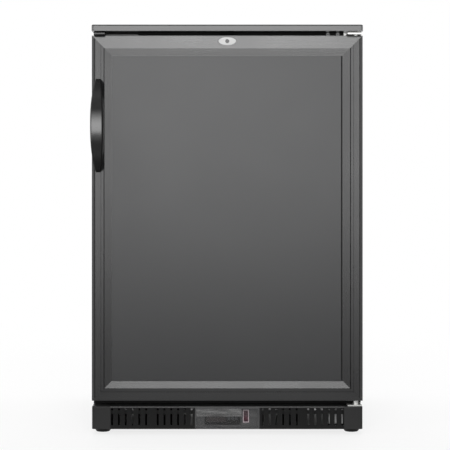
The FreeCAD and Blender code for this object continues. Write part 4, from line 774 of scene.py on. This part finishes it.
# Black paint on the lock strike, made near-black and unreflective as painted shade so that it sinks into the gap
# above the lock.
STRIKE_SHADE_BLACK = PowderCoat("strike_shade_black", (0.003, 0.003, 0.003), 0.8, specular=0.05)
SHADED_STEEL = Moulded("shaded_steel", (0.002, 0.002, 0.002), 0.9)
SIDE_PAINT = PowderCoat("side_paint", (0.016, 0.016, 0.017), 0.42)
ZINC_SHEET = Galvanised("zinc_sheet", (0.52, 0.53, 0.54), 0.42)
CASE_FOAM = RigidFoam("case_foam", (0.78, 0.66, 0.38), 0.85)
LINER_SHEET = Embossed("liner_sheet", (0.5, 0.505, 0.51), 0.4)
FRAME_PLASTIC = Moulded("frame_plastic", (0.006, 0.006, 0.006), 0.6, specular=0.1)
BASE_PAINT = PowderCoat("base_paint", (0.012, 0.012, 0.012), 0.32, specular=0.4)
BLOCK_PLASTIC = Moulded("block_plastic", (0.009, 0.009, 0.009), 0.5, specular=0.26)
GRILLE_PLASTIC = Moulded("grille_plastic", (0.006, 0.006, 0.006), 0.34, specular=0.12)
UPRIGHT_SKIN = RubbedProfile("upright_skin", (0.012, 0.012, 0.0125), 0.28, Axis.Z, edge_start=UPRIGHT_EDGE)
CROSS_SKIN = SatinProfile("cross_skin", (0.012, 0.012, 0.0125), 0.28, Axis.X, specular=0.65)
SILL_SKIN = SatinProfile("sill_skin", (0.012, 0.012, 0.0125), 0.28, Axis.X, specular=0.48)
PANEL_SKIN = PowderCoat("panel_skin", (0.009, 0.0094, 0.0102), 0.33)
DOOR_LINING = Moulded("door_lining", (0.7, 0.7, 0.69), 0.4)
GASKET_RUBBER = SoftRubber("gasket_rubber", (0.025, 0.025, 0.026), 0.6)
HANDLE_LACQUER = WornLacquer("handle_lacquer", (0.006, 0.006, 0.006), 0.4, 0.00002, 1.0, 0.18,
                             grip=GRIP_HEIGHT, side=GRIP_SIDE)
ZINC_PLATE = BrushedMetal("zinc_plate", (0.72, 0.72, 0.7), 0.3, Axis.X, 0.0009, 12.0)
SCREW_ZINC = BrushedMetal("screw_zinc", (0.16, 0.16, 0.16), 0.4, Axis.X, 0.0009, 6.0)
TOP_HINGE_ZINC = PartPlated("top_hinge_zinc", (0.5, 0.5, 0.49), 0.34, Axis.X, TOP_PLATING)
# The low hinge's leg below LOW_PLATING sits behind the grille and is darkened as painted shade.
LOW_HINGE_ZINC = PartPlated("low_hinge_zinc", (0.45, 0.45, 0.44), 0.36, Axis.Z, LOW_PLATING, 0.35)
SPARE_PAINT = PowderCoat("spare_paint", (0.03, 0.03, 0.031), 0.4)
LOCK_SATIN = Moulded("lock_satin", (0.5, 0.5, 0.5), 0.5, specular=0.08)
PLUG_CHROME = BrushedMetal("plug_chrome", (0.08, 0.08, 0.08), 0.35, Axis.X, 0.0008, 4.0)
NYLON = Moulded("nylon", (0.8, 0.79, 0.74), 0.4)
HOUSING_PLASTIC = Polished("housing_plastic", (0.036, 0.036, 0.037), 0.4, wave_deep=0.000006, coat=0.1)
CONTROLLER_PLASTIC = Moulded("controller_plastic", (0.01, 0.01, 0.01), 0.4, grain_deep=0.000006, specular=0.2)
DISPLAY_LENS = Polished("display_lens", (0.009, 0.005, 0.005), 0.3, wave_deep=0.000004, coat=0.1)
RIM_PLASTIC = Moulded("rim_plastic", (0.7, 0.58, 0.62), 0.35, grain_deep=0.000006)
KEY_PLASTIC = Moulded("key_plastic", (0.03, 0.03, 0.032), 0.4)
FLAP_CLEAR = SmokedClear("flap_clear", (0.05, 0.052, 0.054), 0.12, reflection_low=FLAP_REFLECTION_HEIGHT,
                         bare_start=FLAP_REFLECTION_END)
SWITCH_PLASTIC = Moulded("switch_plastic", (0.02, 0.02, 0.02), 0.35)
ROCKER_RED = Moulded("rocker_red", (0.05, 0.008, 0.018), 0.4, grain_deep=0.000006, specular=0.15)
SHELF_WIRE = BrushedMetal("shelf_wire", (0.7, 0.7, 0.71), 0.24, Axis.Y, 0.0008, 8.0)
STRIP_STEEL = BrushedMetal("strip_steel", (0.62, 0.62, 0.62), 0.32, Axis.Z)
FIN_ALUMINIUM = BrushedMetal("fin_aluminium", (0.74, 0.75, 0.76), 0.34, Axis.Z, 0.0012, 10.0)
COVER_PAINT = PowderCoat("cover_paint", (0.72, 0.72, 0.72), 0.42)
FAN_PLASTIC = Moulded("fan_plastic", (0.025, 0.025, 0.027), 0.42)
MOTOR_PAINT = PowderCoat("motor_paint", (0.2, 0.2, 0.205), 0.4)
CAP_PLASTIC = Moulded("cap_plastic", (0.6, 0.6, 0.6), 0.4)
DIFFUSER = Moulded("diffuser", (0.82, 0.82, 0.8), 0.35)
TRAY_PLASTIC = Moulded("tray_plastic", (0.13, 0.13, 0.13), 0.45)
COMPRESSOR_PAINT = PowderCoat("compressor_paint", (0.01, 0.01, 0.01), 0.32)
COPPER_TUBE = DrawnCopper("copper_tube", (0.78, 0.38, 0.22), 0.28)
GLAND_PLASTIC = Moulded("gland_plastic", (0.015, 0.015, 0.015), 0.5)
FOOT_PLASTIC = Moulded("foot_plastic", (0.005, 0.005, 0.005), 0.5, specular=0.12)
MOUNT_RUBBER = SoftRubber("mount_rubber", (0.02, 0.02, 0.02), 0.7)


def island_boxes(node: str) -> list[tuple[Vector, Vector]]:
    """Finds the separate solids inside one node.

    Args:
        node: the node's name.

    Returns:
        The lowest and highest corner of each solid, from the left to the right.
    """
    mesh = bmesh.new()
    mesh.from_mesh(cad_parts[node].data)
    left, boxes = set(mesh.verts), []
    while left:
        front = [left.pop()]
        found = list(front)
        while front:
            for edge in front.pop().link_edges:
                for corner in edge.verts:
                    if corner in left:
                        left.remove(corner)
                        front.append(corner)
                        found.append(corner)
        spans = [(min(corner.co[way] for corner in found), max(corner.co[way] for corner in found))
                 for way in range(3)]
        boxes.append(tuple(Vector(span[end] for span in spans) for end in (0, 1)))
    mesh.free()
    return sorted(boxes, key=lambda box: tuple(box[0]))


def seat(name: str, data: Union[bpy.types.Mesh, bpy.types.Curve], finish: Finish, body: str) -> bpy.types.Object:
    """Makes an object that is covered with a finish and rides on a body.

    Args:
        name: the object's name.
        data: its mesh or curve.
        finish: what it is covered with.
        body: the body that it moves with.

    Returns:
        The new object.
    """
    data.materials.append(finish.material())
    piece = bpy.data.objects.new(name, data)
    bpy.context.scene.collection.objects.link(piece)
    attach(piece, body)
    LOG.info("%s: %s on %s", name, finish.name, body)
    return piece


class Piece:
    """One visual piece, built up from simple runs of faces and then placed on its body."""

    def __init__(self, name: str) -> None:
        """Starts an empty piece."""
        self.name = name
        self.mesh = bmesh.new()

    def loft(self, rings: Sequence[Sequence[Point]], joined: bool = False, capped: bool = True) -> "Piece":
        """Adds a skin over rings that have the same number of points.

        Args:
            rings: closed rings of points, in order.
            joined: whether the last ring leads back to the first.
            capped: whether the two ends are closed.

        Returns:
            The same piece.
        """
        rows = [[self.mesh.verts.new(point) for point in ring] for ring in rings]
        pairs = list(zip(rows, rows[1:])) + ([(rows[-1], rows[0])] if joined else [])
        for lower, upper in pairs:
            for index in range(len(lower)):
                after = (index + 1) % len(lower)
                self.mesh.faces.new((lower[index], lower[after], upper[after], upper[index]))
        if capped and not joined:
            self.mesh.faces.new(rows[0][::-1])
            self.mesh.faces.new(rows[-1])
        return self

    def prism(self, outline: Sequence[Pair], axis: Axis, low: float, high: float) -> "Piece":
        """Adds an outline in the two other axes, carried along an axis, and returns the same piece."""
        return self.loft([[axis.point(level, *corner) for corner in outline] for level in (low, high)])

    def hoop(self, centre: Point, radius: float, wire: float, axis: Axis, steps: int = 48) -> "Piece":
        """Adds a round hoop of wire.

        Args:
            centre: the hoop's centre.
            radius: the radius of the wire's middle line.
            wire: the wire's own radius.
            axis: the axis that the hoop runs about.
            steps: how many facets go round it.

        Returns:
            The same piece.
        """
        rings = []
        for turn in (math.tau * step / steps for step in range(steps)):
            ring = []
            for around in (math.tau * side / WIRE_SIDES for side in range(WIRE_SIDES)):
                reach = radius + wire * math.cos(around)
                point = axis.point(wire * math.sin(around), reach * math.cos(turn), reach * math.sin(turn))
                ring.append(tuple(Vector(centre) + Vector(point)))
            rings.append(ring)
        return self.loft(rings, joined=True)

    def framed(self, xs: Pair, zs: Pair, section: Sequence[Pair]) -> "Piece":
        """Adds a section that runs round an upright rectangle, mitred at its corners.

        Args:
            xs: the rectangle's sides.
            zs: its foot and head.
            section: pairs of distance in from the rectangle and place along Y.

        Returns:
            The same piece.
        """
        corners = ((xs[0], zs[0], 1, 1), (xs[1], zs[0], -1, 1), (xs[1], zs[1], -1, -1), (xs[0], zs[1], 1, -1))
        return self.loft([[(x + inward * side, y, z + inward * rise) for inward, y in section]
                          for x, z, side, rise in corners], joined=True)

    def place(self, finish: Finish, body: str, slot: str, replaces: Sequence[str] = (),
              bevel: float = 0.0) -> bpy.types.Object:
        """Turns the faces into an object that rides on a body.

        Args:
            finish: what it is covered with.
            body: the body that it moves with.
            slot: the record's material slot; not used.
            replaces: the nodes that it stands for.
            bevel: the radius of its softened edges, or 0.

        Returns:
            The new object.
        """
        bmesh.ops.recalc_face_normals(self.mesh, faces=self.mesh.faces)
        data = bpy.data.meshes.new(self.name)
        self.mesh.to_mesh(data)
        self.mesh.free()
        data.shade_smooth()
        data.set_sharp_from_angle(angle=SHARP_ANGLE)
        piece = seat(self.name, data, finish, body)
        if bevel:
            rounding = piece.modifiers.new("softened_edges", "BEVEL")
            rounding.width, rounding.segments, rounding.limit_method = bevel, ROUNDING_SEGMENTS, "ANGLE"
            rounding.harden_normals = True
        if replaces:
            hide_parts(*replaces)
        return piece


def tube(name: str, runs: Sequence[Sequence[Point]], radius: float, finish: Finish, body: str) -> bpy.types.Object:
    """Makes round tube or wire along smooth runs.

    Args:
        name: the piece's name.
        runs: points of each run, as bezier knots.
        radius: the tube's radius.
        finish: what it is covered with.
        body: the body that it moves with.

    Returns:
        The new object.
    """
    data = bpy.data.curves.new(name, "CURVE")
    data.dimensions, data.bevel_depth, data.bevel_resolution = "3D", radius, TUBE_RESOLUTION
    data.use_fill_caps = True
    for run in runs:
        spline = data.splines.new("BEZIER")
        spline.bezier_points.add(len(run) - 1)
        for knot, point in zip(spline.bezier_points, run):
            knot.co = point
            knot.handle_left_type = knot.handle_right_type = "AUTO"
    return seat(name, data, finish, body)


def return_bends(name: str, coil: str, along: Axis, pitch: float, wire: float, far_reach: float) -> None:
    """Makes the copper bends that join the tubes at both ends of a finned coil.

    Args:
        name: the new piece's name.
        coil: the coil's node.
        along: the level direction in which its tubes run.
        pitch: the height from one tube to the next.
        wire: the radius of a tube.
        far_reach: how far the bends at the far end stand out, to a tube's middle.
    """
    low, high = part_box(coil)
    across = middle((low, high))[1 - along.value]
    count = int((high.z - low.z - pitch) / (pitch * 2)) + 1
    runs = []
    for end, out in ((low[along.value], -pitch / 2), (high[along.value], far_reach)):
        for foot in (low.z + pitch * (0.5 + 2 * step) for step in range(count)):
            runs.append([along.point(place, across, foot + pitch * rise)
                         for place, rise in ((end, 0.0), (end + out, 0.5), (end, 1.0))])
    tube(name, runs, wire, COPPER_TUBE, "cabinet")


class Assembly:
    """A sub-assembly: what its solids are covered with, and the small pieces that it adds."""

    DRESS: ClassVar[Mapping[Finish, Sequence[str]]] = {}

    def build(self) -> None:
        """Covers the solids of the sub-assembly."""
        for finish, nodes in self.DRESS.items():
            finish.cover(nodes)


@dataclass
class Cabinet(Assembly):
    """The insulated box, its worktop, the hinge plates and their screws."""

    DRESS = {WORKTOP_PAINT: ["worktop"], SIDE_PAINT: ["side_panel_left", "side_panel_right"],
             ZINC_SHEET: ["back_panel"], CASE_FOAM: ["cabinet_foam"], LINER_SHEET: ["inner_liner"],
             FRAME_PLASTIC: ["front_frame"], SCREW_ZINC: ["cabinet_screws"], TOP_HINGE_ZINC: ["hinge_top"],
             LOW_HINGE_ZINC: ["hinge_bottom"], SPARE_PAINT: ["spare_hinge_plate"],
             STRIKE_SHADE_BLACK: ["lock_strike"]}

    recess_reach: float = 0.0021
    recess_half: float = 0.00045
    recess_proud: float = 0.00012

    def build(self) -> None:
        """Covers the cabinet's solids and lays a painted-shade cross on each screw head."""
        super().build()
        self._screw_recess_shade()

    def _screw_recess_shade(self) -> None:
        """Lays a thin near-black cross on the head of each screw, as painted shade in its recess."""
        recess_shade = Piece("screw_recess_shade")
        cabinet_middle = middle(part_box("side_panel_left")).y
        for box in island_boxes("cabinet_screws"):
            centre = middle(box)
            faces_back = centre.y > cabinet_middle
            face = box[1].y if faces_back else box[0].y
            low, high = sorted((face, face + (self.recess_proud if faces_back else -self.recess_proud)))
            for across, up in ((self.recess_reach, self.recess_half), (self.recess_half, self.recess_reach)):
                outline = [(centre.x + side * across, centre.z + rise * up)
                           for side, rise in ((-1, -1), (1, -1), (1, 1), (-1, 1))]
                recess_shade.prism(outline, Axis.Y, low, high)
        recess_shade.place(SHADED_STEEL, "cabinet", "zinc")


@dataclass
class Door(Assembly):
    """The door, with its handle, lock and gasket."""

    DRESS = {UPRIGHT_SKIN: ["door_rail_hinge_side", "door_rail_handle_side"], CROSS_SKIN: ["door_rail_top"],
             SILL_SKIN: ["door_rail_bottom"], PANEL_SKIN: ["door_front_panel"], CASE_FOAM: ["door_foam"],
             DOOR_LINING: ["door_inner_panel"], HANDLE_LACQUER: ["handle"], ZINC_PLATE: ["handle_screws"],
             NYLON: ["hinge_bushes"], LOCK_SATIN: ["lock_case"], PLUG_CHROME: ["lock_plug"],
             GASKET_RUBBER: ["door_gasket"]}
    BELLOWS: ClassVar[tuple[Pair, ...]] = (
        (0.12, 0.0), (0.88, 0.0), (0.88, 0.14), (0.7, 0.26), (0.82, 0.4), (0.97, 0.46), (1.0, 0.56),
        (1.0, 0.86), (0.94, 1.0), (0.06, 1.0), (0.0, 0.86), (0.0, 0.56), (0.03, 0.46), (0.18, 0.4),
        (0.3, 0.26), (0.12, 0.14))

    bellows_wide: float = 0.014
    bellows_round: float = 0.0004
    fold_thick: float = 0.0008
    fold_under: float = 0.004
    fold_short: float = 0.006

    def build(self) -> None:
        """Covers the door's solids and makes the gasket's bellows and the panel's fold."""
        super().build()
        self._gasket()
        self._panel_fold()

    def _gasket(self) -> None:
        """Makes the magnetic gasket: a base, one bellows fold and the rounded magnet bar."""
        low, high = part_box("door_gasket")
        deep = high.y - low.y
        section = [(self.bellows_wide * across, low.y + deep * out) for across, out in self.BELLOWS]
        gasket = Piece("gasket_bellows").framed((low.x, high.x), (low.z, high.z), section)
        gasket.place(GASKET_RUBBER, "door", "gasket_rubber", ["door_gasket"], self.bellows_round)

    def _panel_fold(self) -> None:
        """Makes the fold of the front panel that closes the open line on the hinge side; its near-black finish is
        painted shade in the gap.
        """
        low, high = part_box("door_front_panel")
        left, right = high.x - self.fold_under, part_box("door_rail_hinge_side")[0].x + self.fold_under
        front, back = high.y - self.fold_thick / 2, high.y + self.fold_thick / 2
        outline = [(left, front), (right, front), (right, back), (left, back)]
        fold = Piece("panel_fold").prism(outline, Axis.Z, low.z + self.fold_short, high.z - self.fold_short)
        fold.place(SHADED_STEEL, "door", "door_skin")


@dataclass
class Base(Assembly):
    """The base under the cabinet, with its grilles and feet."""

    DRESS = {BASE_PAINT: ["base_frame"], BLOCK_PLASTIC: ["corner_blocks"],
             GRILLE_PLASTIC: ["grille_left", "grille_right"],
             FOOT_PLASTIC: ["foot_front_left", "foot_front_right", "foot_rear_left", "foot_rear_right"]}


@dataclass
class ControlPanel(Assembly):
    """The thermostat, its keys, the rocker switch and the clear flap over them."""

    DRESS = {HOUSING_PLASTIC: ["control_housing"], CONTROLLER_PLASTIC: ["controller"],
             DISPLAY_LENS: ["display_lens"], KEY_PLASTIC: ["button_set", "button_up", "button_down"],
             SWITCH_PLASTIC: ["switch_body"], ROCKER_RED: ["power_switch"], FLAP_CLEAR: ["control_cover"]}
    RIM: ClassVar[tuple[Pair, ...]] = (
        (0.0, 0.0), (0.0, 0.55), (0.22, 1.0), (0.78, 1.0), (1.0, 0.55), (1.0, 0.0))

    rim_in: float = 0.0002
    rim_wide: float = 0.0015
    rim_proud: float = 0.0006

    def build(self) -> None:
        """Covers the control panel's solids and adds the switch's rim."""
        super().build()
        self._switch_rim()

    def _switch_rim(self) -> None:
        """Makes the pale rounded rim of the switch."""
        low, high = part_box("switch_body")
        section = [(self.rim_in + self.rim_wide * across, low.y - self.rim_proud * out)
                   for across, out in self.RIM]
        rim = Piece("switch_rim").framed((low.x, high.x), (low.z, high.z), section)
        rim.place(RIM_PLASTIC, "cabinet", "switch_black")


@dataclass
class FoodSpace(Assembly):
    """The shelves and their carriers, the light, and the evaporator with its cover and fan."""

    DRESS = {SHELF_WIRE: ["shelf_lower", "shelf_upper"], STRIP_STEEL: ["shelf_supports"],
             DIFFUSER: ["led_light"], FIN_ALUMINIUM: ["evaporator_coil"], COVER_PAINT: ["evaporator_cover"],
             FAN_PLASTIC: ["evaporator_fan"], MOTOR_PAINT: ["evaporator_fan_motor"]}

    tube_pitch: float = 0.022
    tube_radius: float = 0.0036
    guard_reach: float = 0.062
    guard_wire: float = 0.0011
    guard_rings: int = 5
    guard_proud: float = 0.0009
    cap_long: float = 0.008
    cap_grow: float = 0.0006
    cap_round: float = 0.0008

    def build(self) -> None:
        """Covers the solids inside the cabinet and adds their small parts."""
        super().build()
        return_bends("evaporator_bends", "evaporator_coil", Axis.X, self.tube_pitch, self.tube_radius,
                     self.tube_pitch / 2)
        self._fan_guard()
        self._light_caps()

    def _fan_guard(self) -> None:
        """Makes the wire guard of the evaporator cover's mouth."""
        fan = middle(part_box("evaporator_fan"))
        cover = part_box("evaporator_cover")[0].y
        centre = Vector((fan.x, cover + self.guard_proud, fan.z))
        guard = Piece("evaporator_fan_guard")
        for ring in range(1, self.guard_rings + 1):
            guard.hoop(centre, self.guard_reach * ring / self.guard_rings, self.guard_wire, Axis.Y)
        for turn in (math.radians(45 + 90 * quarter) for quarter in range(4)):
            way = Vector((math.cos(turn), 0, math.sin(turn)))
            side = Vector((-way.z, 0, way.x)) * self.guard_wire
            lift = Vector((0, self.guard_wire, 0))
            guard.loft([[tuple(centre + way * at + side * aside + lift * out)
                         for aside, out in ((1, 0), (0, 1), (-1, 0), (0, -1))]
                        for at in (self.guard_reach / self.guard_rings, self.guard_reach)])
        guard.place(SHELF_WIRE, "cabinet", "white_cover")

    def _light_caps(self) -> None:
        """Makes the two end caps of the light."""
        low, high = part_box("led_light")
        caps = Piece("light_end_caps")
        grow = self.cap_grow
        for start, end in ((low.x - grow, low.x + self.cap_long), (high.x - self.cap_long, high.x + grow)):
            caps.prism([(low.y - grow, low.z - grow), (high.y + grow, low.z - grow), (high.y + grow, high.z),
                        (low.y - grow, high.z)], Axis.X, start, end)
        caps.place(CAP_PLASTIC, "cabinet", "light_diffuser", bevel=self.cap_round)


@dataclass
class MachineBay(Assembly):
    """The compressor, the condenser with its fan, the lines and the rear cover."""

    DRESS = {COMPRESSOR_PAINT: ["compressor"], MOUNT_RUBBER: ["compressor_mounts"],
             TRAY_PLASTIC: ["drip_tray"], FIN_ALUMINIUM: ["condenser_coil"],
             ZINC_SHEET: ["condenser_shroud", "rear_cover"], FAN_PLASTIC: ["condenser_fan"],
             MOTOR_PAINT: ["condenser_fan_motor"], COPPER_TUBE: ["refrigerant_lines"],
             GLAND_PLASTIC: ["cable_gland"]}

    tube_pitch: float = 0.0245
    tube_radius: float = 0.0038
    rear_reach: float = 0.0027
    seam_share: float = 0.55
    seam_wire: float = 0.0022
    seam_steps: int = 96

    def build(self) -> None:
        """Covers the machine bay's solids and adds their small parts."""
        super().build()
        return_bends("condenser_bends", "condenser_coil", Axis.Y, self.tube_pitch, self.tube_radius,
                     self.rear_reach)
        self._pot_seam()

    def _pot_seam(self) -> None:
        """Makes the bead where the compressor's two shells are welded."""
        low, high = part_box("compressor")
        centre = middle((low, high))
        centre.z = low.z + (high.z - low.z) * self.seam_share
        seam = Piece("compressor_seam")
        seam.hoop(centre, (high.y - low.y) / 2, self.seam_wire, Axis.Z, self.seam_steps)
        seam.place(COMPRESSOR_PAINT, "cabinet", "compressor_black")


@dataclass(frozen=True)
class Softbox:
    """A rectangular lamp. A gain of 1 makes its face white, and its spread is in degrees."""

    name: str
    place: Point
    aim: Point
    size: Pair
    gain: float
    spread: float = 180.0

    def hang(self) -> None:
        """Adds the lamp to the scene, out of the camera's sight."""
        data = bpy.data.lights.new(self.name, "AREA")
        data.shape = "RECTANGLE"
        data.size, data.size_y = self.size
        data.energy = self.gain * math.pi * self.size[0] * self.size[1]
        data.spread = math.radians(self.spread)
        lamp = bpy.data.objects.new(self.name, data)
        lamp.visible_camera = False
        lamp.location = self.place
        lamp.rotation_euler = (Vector(self.aim) - Vector(self.place)).to_track_quat("-Z", "Y").to_euler()
        bpy.context.scene.collection.objects.link(lamp)


@dataclass
class Studio:
    """The floor, the lights and the camera; none of them is part of the refrigerator."""

    SOFTBOXES: ClassVar[tuple[Softbox, ...]] = (
        Softbox("front_softbox", (-0.15, -3.7, 1.2), (-0.15, 0.0, 1.2), (2.3, 2.0), 3.7),
        Softbox("high_softbox", (0.0, -2.9, 3.6), (0.0, -0.24, 0.8), (1.9, 1.0), 8.5),
        Softbox("left_front_strip", (-3.0, -2.9, 1.2), (-0.3, -0.24, 1.2), (1.3, 2.0), 3.8),
        Softbox("right_front_strip", (3.0, -2.9, 1.2), (0.3, -0.24, 1.2), (1.3, 2.0), 3.8),
        Softbox("low_softbox", (0.0, -0.9, 0.02), (0.0, -0.24, 0.88), (1.1, 0.5), 0.7, 55),
        Softbox("top_softbox", (0.0, 0.9, 3.2), (0.0, 0.2, 0.0), (2.2, 1.8), 3.0),
        Softbox("left_fill", (-3.4, 1.2, 1.5), (0.0, 0.0, 0.45), (1.8, 1.8), 3.0),
        Softbox("right_fill", (3.4, 1.2, 1.5), (0.0, 0.0, 0.45), (1.8, 1.8), 3.0),
        Softbox("rear_softbox", (0.0, 3.9, 1.8), (0.0, 0.0, 0.5), (2.6, 1.6), 4.0))

    floor_half: float = 9.0
    floor_tone: float = 0.9
    floor_bounce: float = 0.45
    seen_share: float = 0.8
    seen_fade: Pair = (0.7, 2.2)
    near_mirror: Pair = (0.38, 0.55)
    far_mirror: Pair = (1.2, 3.4)
    ambient: float = 0.2
    camera_away: float = 3.0
    camera_height: float = 0.564
    camera_aside: float = -0.005
    framed: float = 0.993
    framed_height: float = 0.4644

    def build(self) -> None:
        """Makes the floor, the lamps, the world and the camera."""
        self._floor()
        self._world()
        for softbox in self.SOFTBOXES:
            softbox.hang()
        self._camera()

    @staticmethod
    def _rays(sheet: NodeSheet) -> tuple[Signal, Signal]:
        """Tells the rays that should see a white surround.

        Args:
            sheet: the node tree that asks.

        Returns:
            A mask for rays straight from the camera or through glass, and one for rays off gloss.
        """
        camera, gloss, through = (sheet.node("ShaderNodeLightPath", output=name)
                                  for name in ("Is Camera Ray", "Is Glossy Ray", "Is Transmission Ray"))
        return camera.at_least(through), gloss

    def _floor(self) -> None:
        """Makes the pale floor, which shows white and keeps the shadow."""
        half = self.floor_half
        mesh = bpy.data.meshes.new("studio_floor")
        mesh.from_pydata([(-half, -half, 0), (half, -half, 0), (half, half, 0), (-half, half, 0)], [],
                         [(0, 1, 2, 3)])
        floor = bpy.data.objects.new("studio_floor", mesh)
        bpy.context.scene.collection.objects.link(floor)
        paint = bpy.data.materials.new("studio_floor")
        paint.use_nodes = True
        sheet = NodeSheet(paint.node_tree)
        straight, gloss = self._rays(sheet)
        tone = sheet.mix(straight, (self.floor_bounce,) * 3, (self.floor_tone,) * 3)
        lit = sheet.node("ShaderNodeBsdfDiffuse", {}, {"Color": tone})
        glow = sheet.node("ShaderNodeEmission", {}, {"Color": (1, 1, 1, 1), "Strength": 1.0})
        away = sheet.node("ShaderNodeVectorMath", {"operation": "LENGTH"}, {0: sheet.place()}, "Value")
        seen = away.between(*self.seen_fade) * (1 - self.seen_share) + self.seen_share
        mirrored = away.between(*self.far_mirror).at_least(1 - away.between(*self.near_mirror))
        share = (straight * seen).at_least(gloss * mirrored)
        both = sheet.node("ShaderNodeMixShader", {}, {0: share, 1: lit, 2: glow})
        sheet.node("ShaderNodeOutputMaterial", {}, {"Surface": both})
        mesh.materials.append(paint)

    def _world(self) -> None:
        """Makes a white surround that lights the scene at a lower, even level."""
        world = bpy.data.worlds.new("studio_world")
        bpy.context.scene.world = world
        world.use_nodes = True
        sheet = NodeSheet(world.node_tree)
        straight, gloss = self._rays(sheet)
        strength = self.ambient + straight.at_least(gloss) * (1 - self.ambient)
        light = sheet.node("ShaderNodeBackground", {}, {"Color": (1, 1, 1, 1), "Strength": strength})
        sheet.node("ShaderNodeOutputWorld", {}, {"Surface": light})

    def _camera(self) -> None:
        """Makes the camera, level and square to the door."""
        data = bpy.data.cameras.new("studio_camera")
        data.lens = data.sensor_width * self.camera_away / self.framed
        data.shift_y = (self.framed_height - self.camera_height) / self.framed
        camera = bpy.data.objects.new("studio_camera", data)
        door_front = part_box("door_rail_top")[0].y
        camera.location = (self.camera_aside, door_front - self.camera_away, self.camera_height)
        camera.rotation_euler = (math.radians(90), 0, 0)
        bpy.context.scene.collection.objects.link(camera)
        bpy.context.scene.camera = camera


def main() -> None:
    """Builds the sub-assemblies in order, then the studio."""
    logging.basicConfig(level=logging.INFO, format="%(name)s: %(message)s")
    bpy.context.scene.view_settings.view_transform = "Standard"
    for part in (Cabinet(), Door(), Base(), ControlPanel(), FoodSpace(), MachineBay()):
        part.build()
    Studio().build()


if __name__ == "__main__":
    main()
